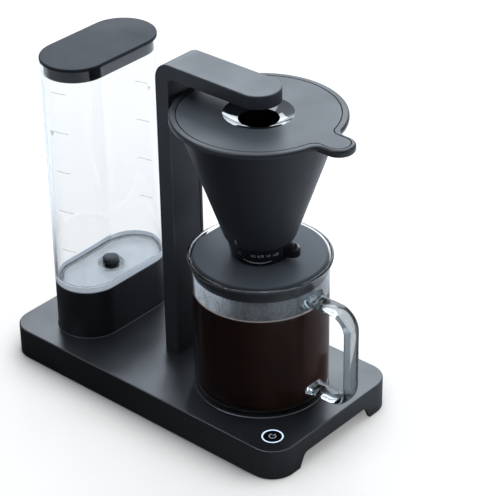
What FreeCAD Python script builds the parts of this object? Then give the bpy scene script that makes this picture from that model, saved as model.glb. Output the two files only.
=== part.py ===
"""Filter coffee brewer, built as separate named pieces, in millimetres.

Layout: +X runs along the base from the water tank to the carafe handle, -Y is the front
long side with the button, +Z is up.  Pieces are modelled about the middle of the base on
the floor plane.  save() then moves them so that the origin is the centre of the whole
brewer's bounding box, on the floor.
"""
import FreeCAD, Part
import itertools
import math
import os

V = FreeCAD.Vector

# ---------------------------------------------------------------- driving dimensions
# base casing
BASE_LENGTH = 325.0
BASE_WIDTH = 162.0
BASE_TOP = 30.0
BASE_CORNER = 22.5
BASE_WALL = 3.0
BASE_EDGE = 1.2
SKIRT_BOTTOM = 1.0
ARCH_FOOT_HALF = 48.0
ARCH_TOP_HALF = 42.0
ARCH_TOP = 14.2
ARCH_ROUND = 7.0
END_RIB_INSET = 12.0
END_RIB = 2.0
ALCOVE_HALF = 51.0
PAN_TOP = 6.0
PAN_THICK = 2.0
FOOT_RADIUS = 8.0
FOOT_HEIGHT = 3.0
CORNER_BLOCK_TOP = 14.0
GLAND_Z = 10.5
GLAND_NECK = 4.0
GLAND_FLANGE = 6.0
GLAND_BORE = 3.3

# axes of the three columns that stand on the base
BREW_X = 78.0
TANK_X = -106.0

# water tank and dock
TANK_RADIUS = 31.2
TANK_HALF_LENGTH = 59.6
TANK_WALL = 2.4
DOCK_TOP = 79.0
TANK_TOP = 301.0
TANK_FLOOR = 82.0
TANK_PLUG_BOTTOM = 75.5
LID_PLATE = 2.9
LID_SKIRT = 11.0
NECK_OUTER = 10.0
NECK_BORE = 6.0
NECK_BOTTOM = 63.5

# post and arm
POST_OUTER_X = -20.7
POST_INNER_X = -5.6
POST_HALF_WIDTH = 19.5
ARM_TOP = 320.5
ARM_BOTTOM = 308.5
ARM_OUTER_ROUND = 16.0
ARM_INNER_ROUND = 5.0
POST_WALL = 2.5
COVER_INSET = 0.5
COVER_THICK = 2.0
RISER_X = -13.0
ARM_PIPE_Z = 314.5

# filter holder
RIM_RADIUS = 74.5
RIM_TOP = 296.6
RIM_BOTTOM = 292.6
LID_RADIUS = 68.2
LID_SEAT = 293.3
RECESS_RADIUS = 68.9
CONE_TOP_RADIUS = 68.6
CONE_BOTTOM_RADIUS = 31.3
CONE_BOTTOM = 182.9
CONE_WALL = 2.5
CONE_FLOOR_TOP = 184.2
CONE_FLOOR_BOTTOM = 181.2
TONGUE_REACH = 98.0
TONGUE_HALF = 14.0
TONGUE_BOTTOM = 289.6
LID_TONGUE_REACH = 93.6
LID_TONGUE_HALF = 10.4
LID_GAP = 0.7
RIM_ROUND = 2.2
TONGUE_BLEND = 9.0
BOWL_RADIUS = 30.0
BOWL_HOLE = 17.4
BOWL_BOTTOM = 291.4
RIB_COUNT = 16
HUB_OUTER = 19.0
HUB_INNER = 16.5
HUB_BOTTOM = 166.0

# flow ring
RING_TOP = 181.0
RING_TOP_RADIUS = 29.2
RING_BOTTOM = 164.1
RING_BOTTOM_RADIUS = 25.2
RING_BORE_GAP = 0.05
LEVER_ANGLE = 16.0
LEVER_REACH = 37.0
LEVER_HALF = 6.5

# carafe
PLATE_TOP = 30.8
PLATE_RADIUS = 59.5
GLASS_RADIUS = 59.5
GLASS_WALL = 2.2
GLASS_TOP = 161.8
GLASS_LIP = 63.0
GLASS_FLARE_START = 150.0
GLASS_FOOT_ROUND = 9.0
CARAFE_LID_TOP = 162.8
CARAFE_LID_RADIUS = 58.2
HANDLE_REACH = 181.5
HANDLE_WIDTH = 17.0
HANDLE_THICK = 7.3
HANDLE_BEND = 17.5
HANDLE_TOP_Z = 138.0
HANDLE_LOW_Z = 48.5

# button, at the centre of the base's front right corner arc
BUTTON_X = 140.0
BUTTON_Y = -58.5
LED_OUTER = 9.5
LED_INNER = 8.3
BUTTON_RADIUS = 8.25

# water line and heater
HOSE_OUTER = 4.5
HOSE_BORE = 3.0
PIPE_BORE = 2.2
WATER_Z = 20.0
HEATER_ARC = 36.0
HEATER_LEG_END = 52.5
HEATER_HALF = 11.0
WATER_ARC = HEATER_ARC - 5.0
ELEMENT_ARC = HEATER_ARC + 5.0
ELEMENT_RADIUS = 3.2

# fasteners
SCREW_SHANK = 1.5
SCREW_HEAD = 2.8
SCREW_CLEAR = 1.6

# ---------------------------------------------------------------- derived values
ORIGIN_SHIFT = V(-(HANDLE_REACH - BASE_LENGTH / 2) / 2, 0, 0)
TOP_PLATE_BOTTOM = BASE_TOP - BASE_WALL
RIB_X = BASE_LENGTH / 2 - END_RIB_INSET
CONE_SLOPE = (CONE_TOP_RADIUS - CONE_BOTTOM_RADIUS) / (RIM_BOTTOM - CONE_BOTTOM)
PAN_SCREWS = [(x, y) for x in (-122.0, 122.0) for y in (-68.0, 68.0)]
FEET = [(x, y) for x in (-145.0, 145.0) for y in (-64.0, 64.0)]
POST_SCREWS = [(RISER_X - 1, y) for y in (-13.5, 13.5)]
BRACKET_SCREW_Z = 283.0
BRACKET_SCREWS = (-13.0, 13.0)


# ---------------------------------------------------------------- shape helpers
def box(x, y, z):
    """Box from three (low, high) pairs."""
    return Part.makeBox(x[1] - x[0], y[1] - y[0], z[1] - z[0], V(x[0], y[0], z[0]))


def rod(x, y, z, radius):
    """Upright cylinder between the two heights in z."""
    return Part.makeCylinder(radius, z[1] - z[0], V(x, y, z[0]))


def tube(x, y, z, outer, inner):
    return rod(x, y, z, outer).cut(rod(x, y, z, inner))


def stadium(half_length, radius, z, x=TANK_X, y=0.0):
    """Upright prism with round ends, long in Y."""
    run = half_length - radius
    middle = box((x - radius, x + radius), (y - run, y + run), z)
    ends = [rod(x, y - run, z, radius), rod(x, y + run, z, radius)]
    return middle.fuse(ends).removeSplitter()


def rounded_plate(length, width, corner, z):
    """Upright prism centred on the base, with rounded plan corners."""
    block = box((-length / 2, length / 2), (-width / 2, width / 2), z)
    upright = [e for e in block.Edges if abs(e.Vertexes[0].Z - e.Vertexes[-1].Z) > 1e-6]
    return block.makeFillet(corner, upright)


def lathe(outline, x=BREW_X, y=0.0):
    """Solid of revolution about an upright axis from (radius, height) points."""
    points = [V(x + r, y, z) for r, z in outline]
    face = Part.Face(Part.makePolygon(points + points[:1]))
    return face.revolve(V(x, y, 0), V(0, 0, 1), 360)


def side_prism(outline, y):
    """Prism across Y from (x, z) points."""
    points = [V(px, y[0], pz) for px, pz in outline]
    face = Part.Face(Part.makePolygon(points + points[:1]))
    return face.extrude(V(0, y[1] - y[0], 0))


def joined(shapes):
    return shapes[0].fuse(shapes[1:]).removeSplitter()


def edges_at_height(shape, z):
    return [e for e in shape.Edges if all(abs(v.Z - z) < 1e-4 for v in e.Vertexes)
            and abs(e.BoundBox.ZMax - z) < 1e-4 and abs(e.BoundBox.ZMin - z) < 1e-4]


def unit(vector):
    return V(vector).normalize()


def bent_path(points, bend):
    """Wire of straight runs joined by tangent arcs of one radius."""
    edges = []
    start = points[0]
    for before, corner, after in zip(points, points[1:], points[2:]):
        into = unit(corner - before)
        out = unit(after - corner)
        turn = into.getAngle(out)
        arc_start = corner - into * (bend * math.tan(turn / 2))
        arc_end = corner + out * (bend * math.tan(turn / 2))
        middle = corner + unit(out - into) * (bend / math.cos(turn / 2) - bend)
        edges.append(Part.LineSegment(start, arc_start).toShape())
        edges.append(Part.Arc(arc_start, middle, arc_end).toShape())
        start = arc_end
    edges.append(Part.LineSegment(start, points[-1]).toShape())
    return Part.Wire(edges)


def round_bar(path, radius):
    """Solid bar of round section along a wire."""
    first = path.Edges[0]
    start = first.valueAt(first.FirstParameter)
    along = first.tangentAt(first.FirstParameter)
    section = Part.Wire(Part.makeCircle(radius, start, along))
    return path.makePipeShell([section], True, False)


def hose(points, bend, outer, inner):
    path = bent_path(points, bend)
    return round_bar(path, outer).cut(round_bar(path, inner))


def coil_spring(x, y, z, coil, wire, turns):
    """Helical spring between the two heights in z, wire centre to wire centre."""
    helix = Part.makeHelix((z[1] - z[0]) / turns, z[1] - z[0], coil)
    helix.translate(V(x, y, z[0]))
    section = Part.Wire(Part.makeCircle(wire, V(x + coil, y, z[0]), V(0, 1, 0)))
    return Part.Wire(helix).makePipeShell([section], True, True)


def screw_up(x, y, under_head, head, length):
    """Screw that points up, its head below under_head."""
    cap = rod(x, y, (under_head - head, under_head), SCREW_HEAD)
    socket = Part.makeCylinder(1.0, head * 0.6, V(x, y, under_head - head))
    shank = rod(x, y, (under_head, under_head + length), SCREW_SHANK)
    return cap.fuse(shank).cut(socket).removeSplitter()


def save(name, shapes):
    """Write one node; a list becomes a group of separate solids."""
    parts = shapes if isinstance(shapes, list) else [shapes]
    solids = [solid for part in parts for solid in part.Solids]
    group = solids[0] if len(solids) == 1 else Part.makeCompound(solids)
    moved = group.copy()
    moved.translate(ORIGIN_SHIFT)
    assert moved.isValid(), name
    moved.exportStep("parts/" + name + ".step")
    size = moved.BoundBox
    print(f"{name:18s} solids {len(solids):2d}  volume {moved.Volume:10.1f}  "
          f"x {size.XMin:7.1f} {size.XMax:7.1f}  y {size.YMin:6.1f} {size.YMax:6.1f}  "
          f"z {size.ZMin:6.1f} {size.ZMax:6.1f}")


# ---------------------------------------------------------------- base
def arch_cut(sign):
    """Cutter for the arch between the corner feet of one short side."""
    low = SKIRT_BOTTOM - 2
    outline = [(-ARCH_FOOT_HALF - 1.2, low), (ARCH_FOOT_HALF + 1.2, low),
               (ARCH_TOP_HALF, ARCH_TOP), (-ARCH_TOP_HALF, ARCH_TOP)]
    reach = sorted((sign * (RIB_X + 0.01), sign * (BASE_LENGTH / 2 + 5)))
    points = [V(reach[0], py, pz) for py, pz in outline]
    block = Part.Face(Part.makePolygon(points + points[:1])).extrude(V(reach[1] - reach[0], 0, 0))
    return block.makeFillet(ARCH_ROUND, edges_along_x(block, ARCH_TOP))


def edges_along_x(shape, z):
    return [e for e in shape.Edges if abs(e.Vertexes[0].Z - z) < 1e-4 and abs(e.Vertexes[-1].Z - z) < 1e-4
            and abs(e.Vertexes[0].X - e.Vertexes[-1].X) > 1]


def base_shell():
    outer = rounded_plate(BASE_LENGTH, BASE_WIDTH, BASE_CORNER, (SKIRT_BOTTOM, BASE_TOP))
    outer = outer.makeFillet(BASE_EDGE, edges_at_height(outer, BASE_TOP))
    inner = rounded_plate(BASE_LENGTH - 2 * BASE_WALL, BASE_WIDTH - 2 * BASE_WALL,
                          BASE_CORNER - BASE_WALL, (0, TOP_PLATE_BOTTOM))
    additions = []
    for x, y in FEET:
        block = box((x - 11, x + 11), (y - 11, y + 11), (FOOT_HEIGHT, CORNER_BLOCK_TOP))
        additions.append(block.common(inner))
    for x, y in PAN_SCREWS:
        additions.append(rod(x, y, (PAN_TOP, TOP_PLATE_BOTTOM), 4.0))
    alcove = box((-RIB_X, RIB_X), (-ALCOVE_HALF, ALCOVE_HALF), (PAN_TOP, TOP_PLATE_BOTTOM + 0.5))
    alcove = alcove.cut(box((END_RIB - RIB_X, RIB_X - END_RIB), (-90, 90), (0, BASE_TOP)))
    additions.append(alcove)
    for x, y in itertools.product((-1, 1), (-1, 1)):
        side = sorted((y * ALCOVE_HALF, y * (ALCOVE_HALF - END_RIB)))
        reach = sorted((x * (RIB_X - END_RIB), x * (BASE_LENGTH / 2 - 1)))
        additions.append(box(reach, side, (PAN_TOP, TOP_PLATE_BOTTOM + 0.5)))
    shell = joined([outer.cut(inner)] + additions)
    openings = [
        rod(BREW_X, 0, (TOP_PLATE_BOTTOM - 1, BASE_TOP + 1), 54.0),
        rod(BREW_X, 0, (28.5, BASE_TOP + 1), PLATE_RADIUS + 0.2),
        rod(TANK_X, 0, (TOP_PLATE_BOTTOM - 1, BASE_TOP + 1), HOSE_OUTER + 0.5),
        rod(RISER_X, 0, (TOP_PLATE_BOTTOM - 1, BASE_TOP + 1), HOSE_OUTER + 0.3),
        rod(BUTTON_X, BUTTON_Y, (TOP_PLATE_BOTTOM - 1, BASE_TOP + 1), LED_OUTER),
        along_x(-RIB_X - 1, END_RIB + 2, GLAND_NECK),
    ]
    openings += [rod(x, y, (PAN_TOP - 1, 15), SCREW_SHANK) for x, y in PAN_SCREWS]
    openings += [rod(x, y, (FOOT_HEIGHT - 1, 8), 2.0) for x, y in FEET]
    openings += [rod(x, y, (TOP_PLATE_BOTTOM - 1, BASE_TOP + 1), SCREW_CLEAR) for x, y in POST_SCREWS]
    openings += [arch_cut(-1), arch_cut(1)]
    return shell.cut(openings)


def bottom_plate():
    room = rounded_plate(BASE_LENGTH - 2 * BASE_WALL - 0.4, BASE_WIDTH - 2 * BASE_WALL - 0.4,
                         BASE_CORNER - BASE_WALL - 0.2, (PAN_TOP - PAN_THICK, PAN_TOP))
    plate = room.common(box((-RIB_X, RIB_X), (-BASE_WIDTH, BASE_WIDTH), (0, PAN_TOP)))
    plate = plate.cut([box((x - 11.3, x + 11.3), (y - 11.3, y + 11.3), (0, PAN_TOP + 1)) for x, y in FEET])
    plate = plate.cut([rod(x, y, (0, PAN_TOP + 1), SCREW_CLEAR) for x, y in PAN_SCREWS])
    posts = [rod(x, y, (PAN_TOP, 11.0), 2.5) for x in (-90.0, -40.0) for y in (26.0, 58.0)]
    slots = [box((x, x + 3), (-20, 20), (0, PAN_TOP + 1)) for x in range(20, 68, 8)]
    return joined([plate] + posts).cut(slots)


def base_screws():
    return [screw_up(x, y, PAN_TOP - PAN_THICK, 2.0, 10.5) for x, y in PAN_SCREWS]


def rubber_feet():
    feet = []
    for x, y in FEET:
        pad = rod(x, y, (0, FOOT_HEIGHT), FOOT_RADIUS)
        pad = pad.makeChamfer(0.8, edges_at_height(pad, 0))
        feet.append(pad.fuse(rod(x, y, (FOOT_HEIGHT, 8), 2.0)).removeSplitter())
    return feet


def hot_plate():
    disc = rod(BREW_X, 0, (29.6, PLATE_TOP), PLATE_RADIUS)
    return disc.makeFillet(0.5, edges_at_height(disc, PLATE_TOP))


def hot_plate_seal():
    return tube(BREW_X, 0, (28.5, 29.6), PLATE_RADIUS, 55.0)


def cord_gland():
    """Flanged bush in the rib behind the left arch, its flanges cut flat above the bottom plate."""
    neck = along_x(-RIB_X - 1.5, END_RIB + 3.0, GLAND_NECK)
    flanges = [along_x(-RIB_X - 1.5, 1.5, GLAND_FLANGE), along_x(-RIB_X + END_RIB, 1.5, GLAND_FLANGE)]
    above = box((-BASE_LENGTH / 2, 0), (-10, 10), (PAN_TOP + 0.2, BASE_TOP))
    body = joined([neck] + [flange.common(above) for flange in flanges])
    return body.cut(along_x(-RIB_X - 3, END_RIB + 6, GLAND_BORE))


def along_x(x, length, radius):
    """Cylinder along X at the height of the cord inlet."""
    return Part.makeCylinder(radius, length, V(x, 0, GLAND_Z), V(1, 0, 0))


# ---------------------------------------------------------------- button
def led_ring():
    return tube(BUTTON_X, BUTTON_Y, (21.5, BASE_TOP), LED_OUTER, LED_INNER)


def power_button():
    cap = rod(BUTTON_X, BUTTON_Y, (27.0, BASE_TOP), BUTTON_RADIUS)
    cap = cap.makeFillet(0.4, edges_at_height(cap, BASE_TOP))
    stem = rod(BUTTON_X, BUTTON_Y, (19.7, 27.0), 2.0)
    stop_bar = box((BUTTON_X - 9.5, BUTTON_X + 9.5), (BUTTON_Y - 2.5, BUTTON_Y + 2.5), (19.9, 21.4))
    return joined([cap, stem, stop_bar])


def button_board():
    board = box((BUTTON_X - 12, BUTTON_X + 12), (BUTTON_Y - 12, BUTTON_Y + 12),
                (CORNER_BLOCK_TOP, CORNER_BLOCK_TOP + 1.6))
    room = rounded_plate(BASE_LENGTH - 2 * BASE_WALL - 1, BASE_WIDTH - 2 * BASE_WALL - 1,
                         BASE_CORNER - BASE_WALL - 0.5, (0, TOP_PLATE_BOTTOM))
    rib_gap = box((RIB_X - END_RIB - 0.2, BASE_LENGTH / 2), (-ALCOVE_HALF - 0.2, 0), (0, TOP_PLATE_BOTTOM))
    return board.common(room).cut(rib_gap)


def button_switch():
    body = box((BUTTON_X - 3, BUTTON_X + 3), (BUTTON_Y - 3, BUTTON_Y + 3), (15.6, 18.1))
    return body.fuse(rod(BUTTON_X, BUTTON_Y, (18.1, 19.1), 1.7)).removeSplitter()


# ---------------------------------------------------------------- water line and heater
def heater_path(arc, leg_end):
    """Horseshoe at water height: leg, half circle, leg, open towards -X."""
    z = WATER_Z
    return Part.Wire([
        Part.LineSegment(V(leg_end, -arc, z), V(BREW_X, -arc, z)).toShape(),
        Part.Arc(V(BREW_X, -arc, z), V(BREW_X + arc, 0, z), V(BREW_X, arc, z)).toShape(),
        Part.LineSegment(V(BREW_X, arc, z), V(leg_end, arc, z)).toShape(),
    ])


def heater_casting():
    z = (16.0, 29.6)
    wide = HEATER_ARC + HEATER_HALF
    narrow = HEATER_ARC - HEATER_HALF
    bend = tube(BREW_X, 0, z, wide, narrow).common(box((BREW_X, BREW_X + 80), (-80, 80), z))
    legs = [box((HEATER_LEG_END, BREW_X), side, z) for side in ((-wide, -narrow), (narrow, wide))]
    spigots = round_bar(heater_path(WATER_ARC, HEATER_LEG_END - 9), HOSE_BORE)
    solid = joined([bend] + legs + [spigots])
    return solid.cut([round_bar(heater_path(WATER_ARC, HEATER_LEG_END - 10), PIPE_BORE),
                      round_bar(heater_path(ELEMENT_ARC, HEATER_LEG_END - 1), ELEMENT_RADIUS)])


def heater_element():
    rod_part = round_bar(heater_path(ELEMENT_ARC, HEATER_LEG_END - 5), ELEMENT_RADIUS)
    tab_run = (HEATER_LEG_END - 13, HEATER_LEG_END - 4)
    tabs = []
    for y in (-ELEMENT_ARC, ELEMENT_ARC):
        tabs.append(box(tab_run, (y - 2, y + 2), (WATER_Z - 0.4, WATER_Z + 0.4)))
    return joined([rod_part] + tabs)


def heater_strap():
    """Sprung strip that presses the casting up against the hot plate."""
    outline = [(-70, 27), (-70, 25.5), (-59.5, 25.5), (-57, 14.5), (57, 14.5), (59.5, 25.5), (70, 25.5),
               (70, 27), (58.3, 27), (55.8, 16), (-55.8, 16), (-58.3, 27)]
    points = [V(66, y, z) for y, z in outline]
    strip = Part.Face(Part.makePolygon(points + points[:1])).extrude(V(12, 0, 0))
    return strip.cut([rod(72, y, (20, 30), SCREW_CLEAR) for y in (-66, 66)])


def strap_screws():
    return [screw_up(72, y, 25.5, 1.6, 1.4) for y in (-66, 66)]


def thermostat():
    x = BREW_X + HEATER_ARC
    body = rod(x, 0, (10.0, 16.0), 8.0)
    terminals = box((x - 2, x + 2), (-13, 13), (10.0, 11.6))
    return joined([body, terminals])


def thermal_fuse():
    return Part.makeCylinder(2.0, 14, V(46, -HEATER_ARC, 14.0), V(1, 0, 0))


def check_valve():
    body = Part.makeCylinder(7.0, 14, V(-66, 0, 15.5), V(1, 0, 0))
    barbs = Part.makeCylinder(HOSE_BORE, 30, V(-74, 0, 15.5), V(1, 0, 0))
    bore = Part.makeCylinder(1.8, 32, V(-75, 0, 15.5), V(1, 0, 0))
    return joined([body, barbs]).cut(bore)


def inlet_hose():
    """Dock port to check valve, and check valve to heater."""
    short = hose([V(TANK_X, 0, 34), V(TANK_X, 0, 15.5), V(-67, 0, 15.5)], 10.0, HOSE_OUTER, HOSE_BORE)
    points = [V(-51, 0, 15.5), V(-34, 0, 15.5), V(-4, -WATER_ARC, WATER_Z),
              V(HEATER_LEG_END, -WATER_ARC, WATER_Z)]
    long = hose(points, 16.0, HOSE_OUTER, HOSE_BORE)
    return [short, long]


def outlet_hose():
    """Heater to the foot of the riser."""
    points = [V(HEATER_LEG_END, WATER_ARC, WATER_Z), V(5, WATER_ARC, WATER_Z), V(RISER_X, 0, WATER_Z),
              V(RISER_X, 0, 50)]
    return hose(points, 7.0, HOSE_OUTER, HOSE_BORE)


def riser_tube():
    points = [V(RISER_X, 0, 42), V(RISER_X, 0, ARM_PIPE_Z), V(BREW_X - 7, 0, ARM_PIPE_Z)]
    return hose(points, 9.0, HOSE_BORE, PIPE_BORE)


def outlet_nozzle():
    """Head at the end of the arm: receives the riser and drips through the cover."""
    head = rod(BREW_X, 0, (ARM_BOTTOM + COVER_INSET + COVER_THICK, 317.8), 9.0)
    spout = rod(BREW_X, 0, (307.0, 311.0), 7.0)
    socket = Part.makeCylinder(HOSE_BORE, 4, V(BREW_X - 11, 0, ARM_PIPE_Z), V(1, 0, 0))
    well = rod(BREW_X, 0, (309.0, ARM_PIPE_Z), 4.0)
    passage = Part.makeCylinder(PIPE_BORE, 10, V(BREW_X - 8, 0, ARM_PIPE_Z), V(1, 0, 0))
    holes = [rod(BREW_X + 2.6 * math.cos(a), 2.6 * math.sin(a), (306, 310), 0.7)
             for a in [math.radians(60 * k) for k in range(6)]]
    return joined([head, spout]).cut([socket, well, passage] + holes)


# ---------------------------------------------------------------- electrics
def control_board():
    return box((-95, -35), (22, 62), (11.0, 12.6))


def power_relay():
    return box((-90, -71), (40, 55), (12.6, 24.6))


def supply_module():
    return box((-66, -40), (28, 52), (12.6, 23.0))


def terminal_block():
    block = box((-136, -122), (-12, 12), (PAN_TOP, 17))
    return block.cut([Part.makeCylinder(1.6, 20, V(-140, y, 12), V(1, 0, 0)) for y in (-8, 0, 8)])


def element_leads():
    """Two insulated wires from the board to the ends of the element."""
    leads = []
    for side in (-1, 1):
        points = [V(-35, 40 + 6 * side, 9.2), V(-20, 40 + 6 * side, 9.2),
                  V(14, side * ELEMENT_ARC, 9.2), V(HEATER_LEG_END - 15, side * ELEMENT_ARC, 9.2)]
        leads.append(round_bar(bent_path(points, 6.0), 1.1))
    return leads


# ---------------------------------------------------------------- tank dock and tank
def tank_dock():
    outer = stadium(TANK_HALF_LENGTH, TANK_RADIUS, (BASE_TOP, DOCK_TOP))
    outer = outer.makeFillet(0.5, edges_at_height(outer, DOCK_TOP))
    lower = stadium(TANK_HALF_LENGTH - 2.5, TANK_RADIUS - 2.5, (BASE_TOP - 1, 72.5))
    upper = stadium(TANK_HALF_LENGTH - 2.5, TANK_RADIUS - 2.5, (TANK_PLUG_BOTTOM, DOCK_TOP + 1))
    return outer.cut([lower, upper, rod(TANK_X, 0, (70, 80), NECK_OUTER + 0.3)])


def dock_port():
    """Cup that takes the tank's neck, with the pin that opens the tank valve."""
    cup = tube(TANK_X, 0, (57.0, 72.5), 14.5, NECK_OUTER + 0.3)
    floor = tube(TANK_X, 0, (55.0, 57.0), 14.5, HOSE_BORE - 0.6)
    spigot = tube(TANK_X, 0, (26.0, 55.0), HOSE_BORE, HOSE_BORE - 0.6)
    bridge = box((TANK_X - 10.5, TANK_X + 10.5), (-1, 1), (58.0, 60.5))
    groove = rod(TANK_X, 0, (66.0, 68.5), 12.0)
    return joined([cup, floor, spigot, bridge]).cut(groove)


def dock_seal():
    return tube(TANK_X, 0, (66.0, 68.5), 12.0, NECK_OUTER + 0.05)


def tank():
    outer = stadium(TANK_HALF_LENGTH, TANK_RADIUS, (DOCK_TOP, TANK_TOP))
    plug = stadium(TANK_HALF_LENGTH - 2.8, TANK_RADIUS - 2.8, (TANK_PLUG_BOTTOM, DOCK_TOP))
    neck = rod(TANK_X, 0, (NECK_BOTTOM, TANK_PLUG_BOTTOM), NECK_OUTER)
    space = stadium(TANK_HALF_LENGTH - TANK_WALL, TANK_RADIUS - TANK_WALL, (TANK_FLOOR, TANK_TOP + 1))
    space = space.makeFillet(4.0, edges_at_height(space, TANK_FLOOR))
    under = stadium(TANK_HALF_LENGTH - 5, TANK_RADIUS - 5, (TANK_PLUG_BOTTOM - 1, DOCK_TOP))
    under = under.cut(rod(TANK_X, 0, (70, 80), NECK_OUTER + 2))
    body = joined([outer, plug, neck])
    return body.cut([space, under, rod(TANK_X, 0, (NECK_BOTTOM - 1, TANK_FLOOR + 1), NECK_BORE)])


def tank_valve():
    """Mushroom plunger that closes the neck from above."""
    head = lathe([(0, TANK_FLOOR), (6.9, TANK_FLOOR), (6.9, 83.9), (5.6, 84.2), (5.6, 85.0), (6.9, 85.3),
                  (6.6, 86.8), (5.0, 87.7), (0, 88.0)], TANK_X)
    stem = rod(TANK_X, 0, (61.0, TANK_FLOOR), 2.0)
    collar = rod(TANK_X, 0, (61.6, 62.8), 3.6)
    return joined([head, stem, collar])


def valve_guide():
    disc = rod(TANK_X, 0, (71.0, 73.0), NECK_BORE)
    holes = [rod(TANK_X + 4.0 * math.cos(a), 4.0 * math.sin(a), (70, 74), 1.4)
             for a in [math.radians(72 * k) for k in range(5)]]
    return disc.cut([rod(TANK_X, 0, (70, 74), 2.05)] + holes)


def valve_spring():
    return coil_spring(TANK_X, 0, (63.3, 70.5), 2.9, 0.4, 5)


def tank_lid():
    plate = stadium(TANK_HALF_LENGTH + 0.4, TANK_RADIUS + 0.2, (TANK_TOP, TANK_TOP + LID_PLATE))
    plate = plate.makeFillet(1.0, edges_at_height(plate, TANK_TOP + LID_PLATE))
    fit = TANK_WALL + 0.5
    z = (TANK_TOP - LID_SKIRT, TANK_TOP)
    skirt = stadium(TANK_HALF_LENGTH - fit, TANK_RADIUS - fit, z)
    skirt = skirt.cut(stadium(TANK_HALF_LENGTH - fit - 1.8, TANK_RADIUS - fit - 1.8, z))
    return plate.fuse(skirt).removeSplitter()


# ---------------------------------------------------------------- post and arm
def bracket_bars(x, length, radius):
    """Round bars along x, one on each bracket screw's line, starting at x."""
    return [Part.makeCylinder(radius, length, V(x, y, BRACKET_SCREW_Z), V(1, 0, 0)) for y in BRACKET_SCREWS]


def post_outline(inset):
    """Solid L of the post and arm, inset from its skin but open to the inner side."""
    half = POST_HALF_WIDTH - inset
    top = ARM_TOP - inset
    left = POST_OUTER_X + inset
    profile = [(left, BASE_TOP), (POST_INNER_X, BASE_TOP), (POST_INNER_X, ARM_BOTTOM),
               (BREW_X + half, ARM_BOTTOM), (BREW_X + half, top), (left, top)]
    block = side_prism(profile, (-half, half))
    outer_corner = [e for e in block.Edges if across_y(e, left, top)]
    block = block.makeFillet(ARM_OUTER_ROUND - inset, outer_corner)
    inner_corner = [e for e in block.Edges if across_y(e, POST_INNER_X, ARM_BOTTOM)]
    block = block.makeFillet(ARM_INNER_ROUND, inner_corner)
    plan = box((left, BREW_X), (-half, half), (0, 400)).fuse(rod(BREW_X, 0, (0, 400), half))
    return block.common(plan.removeSplitter())


def across_y(edge, x, z):
    return all(abs(v.X - x) < 1e-4 and abs(v.Z - z) < 1e-4 for v in edge.Vertexes)


def skin_edges(shape):
    """Edges along the outer profile on both sides and round the arm's end."""
    picked = []
    for edge in shape.Edges:
        middle = edge.valueAt((edge.FirstParameter + edge.LastParameter) / 2)
        on_side = abs(abs(middle.y) - POST_HALF_WIDTH) < 1e-3
        on_top = abs(middle.z - ARM_TOP) < 1e-3
        on_back = abs(middle.x - POST_OUTER_X) < 1e-3 and middle.z > BASE_TOP + 1
        on_corner = middle.x < POST_INNER_X and middle.z > ARM_TOP - ARM_OUTER_ROUND
        if (on_side and (on_top or on_back or on_corner)) or (on_top and middle.x > BREW_X + 1):
            picked.append(edge)
    return picked


def post_shell():
    outer = post_outline(0.0)
    outer = outer.makeFillet(1.2, skin_edges(outer))
    space = post_outline(POST_WALL)
    shell = outer.cut(space)
    foot_half = POST_HALF_WIDTH - POST_WALL + 0.5
    foot = box((POST_OUTER_X + POST_WALL - 0.5, -8.1), (-foot_half, foot_half), (BASE_TOP, 36.0))
    shell = joined([shell, foot] + bracket_bars(-18.7, 10.6, 3.4))
    cuts = [rod(RISER_X, 0, (BASE_TOP - 1, 40), HOSE_OUTER + 0.3)]
    cuts += [rod(x, y, (BASE_TOP - 1, 35.0), SCREW_SHANK) for x, y in POST_SCREWS]
    cuts += bracket_bars(-16.0, 10, SCREW_SHANK)
    return shell.cut(cuts)


def post_cover():
    """Inner cover: a strip set into the open side of the post and arm."""
    gap = 0.1
    half = POST_HALF_WIDTH - POST_WALL - gap
    front = POST_INNER_X - COVER_INSET
    back = front - COVER_THICK
    low = ARM_BOTTOM + COVER_INSET
    high = low + COVER_THICK
    centre = V(POST_INNER_X + ARM_INNER_ROUND, 0, ARM_BOTTOM - ARM_INNER_ROUND)
    reach = BREW_X + half
    profile = [(back, BASE_TOP), (front, BASE_TOP), (front, low), (reach, low), (reach, high), (back, high)]
    strip = side_prism(profile, (-half, half))
    strip = strip.makeFillet(centre.x - front, [e for e in strip.Edges if across_y(e, front, low)])
    strip = strip.makeFillet(centre.x - back, [e for e in strip.Edges if across_y(e, back, high)])
    plan = box((back - 1, BREW_X), (-half, half), (0, 400)).fuse(rod(BREW_X, 0, (0, 400), half))
    strip = strip.common(plan.removeSplitter())
    cuts = [rod(BREW_X, 0, (300, 315), 7.05)]
    cuts += bracket_bars(-12, 10, SCREW_CLEAR)
    return strip.cut(cuts)


def post_screws():
    return [screw_up(x, y, TOP_PLATE_BOTTOM, 2.4, 7.5) for x, y in POST_SCREWS]


def holder_bracket():
    """Two rails on a back plate; the filter holder's hanger slides onto them."""
    face = POST_INNER_X - COVER_INSET
    plate = box((face, face + 2.5), (-16, 16), (262, 288))
    rails = [box((face + 2, 17), span, (264, 270)) for span in ((-16, -10), (10, 16))]
    lip = box((face + 2, 1.5), (-16, 16), (274.05, 277))
    return joined([plate, lip] + rails).cut(bracket_bars(-10, 10, SCREW_CLEAR))


def bracket_screws():
    screws = []
    face = POST_INNER_X - COVER_INSET + 2.5
    for y in BRACKET_SCREWS:
        head = Part.makeCylinder(SCREW_HEAD, 1.8, V(face, y, BRACKET_SCREW_Z), V(1, 0, 0))
        shank = Part.makeCylinder(SCREW_SHANK, 12, V(face - 12, y, BRACKET_SCREW_Z), V(1, 0, 0))
        socket = Part.makeCylinder(1.0, 1.2, V(face + 0.6, y, BRACKET_SCREW_Z), V(1, 0, 0))
        screws.append(head.fuse(shank).cut(socket).removeSplitter())
    return screws


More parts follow.
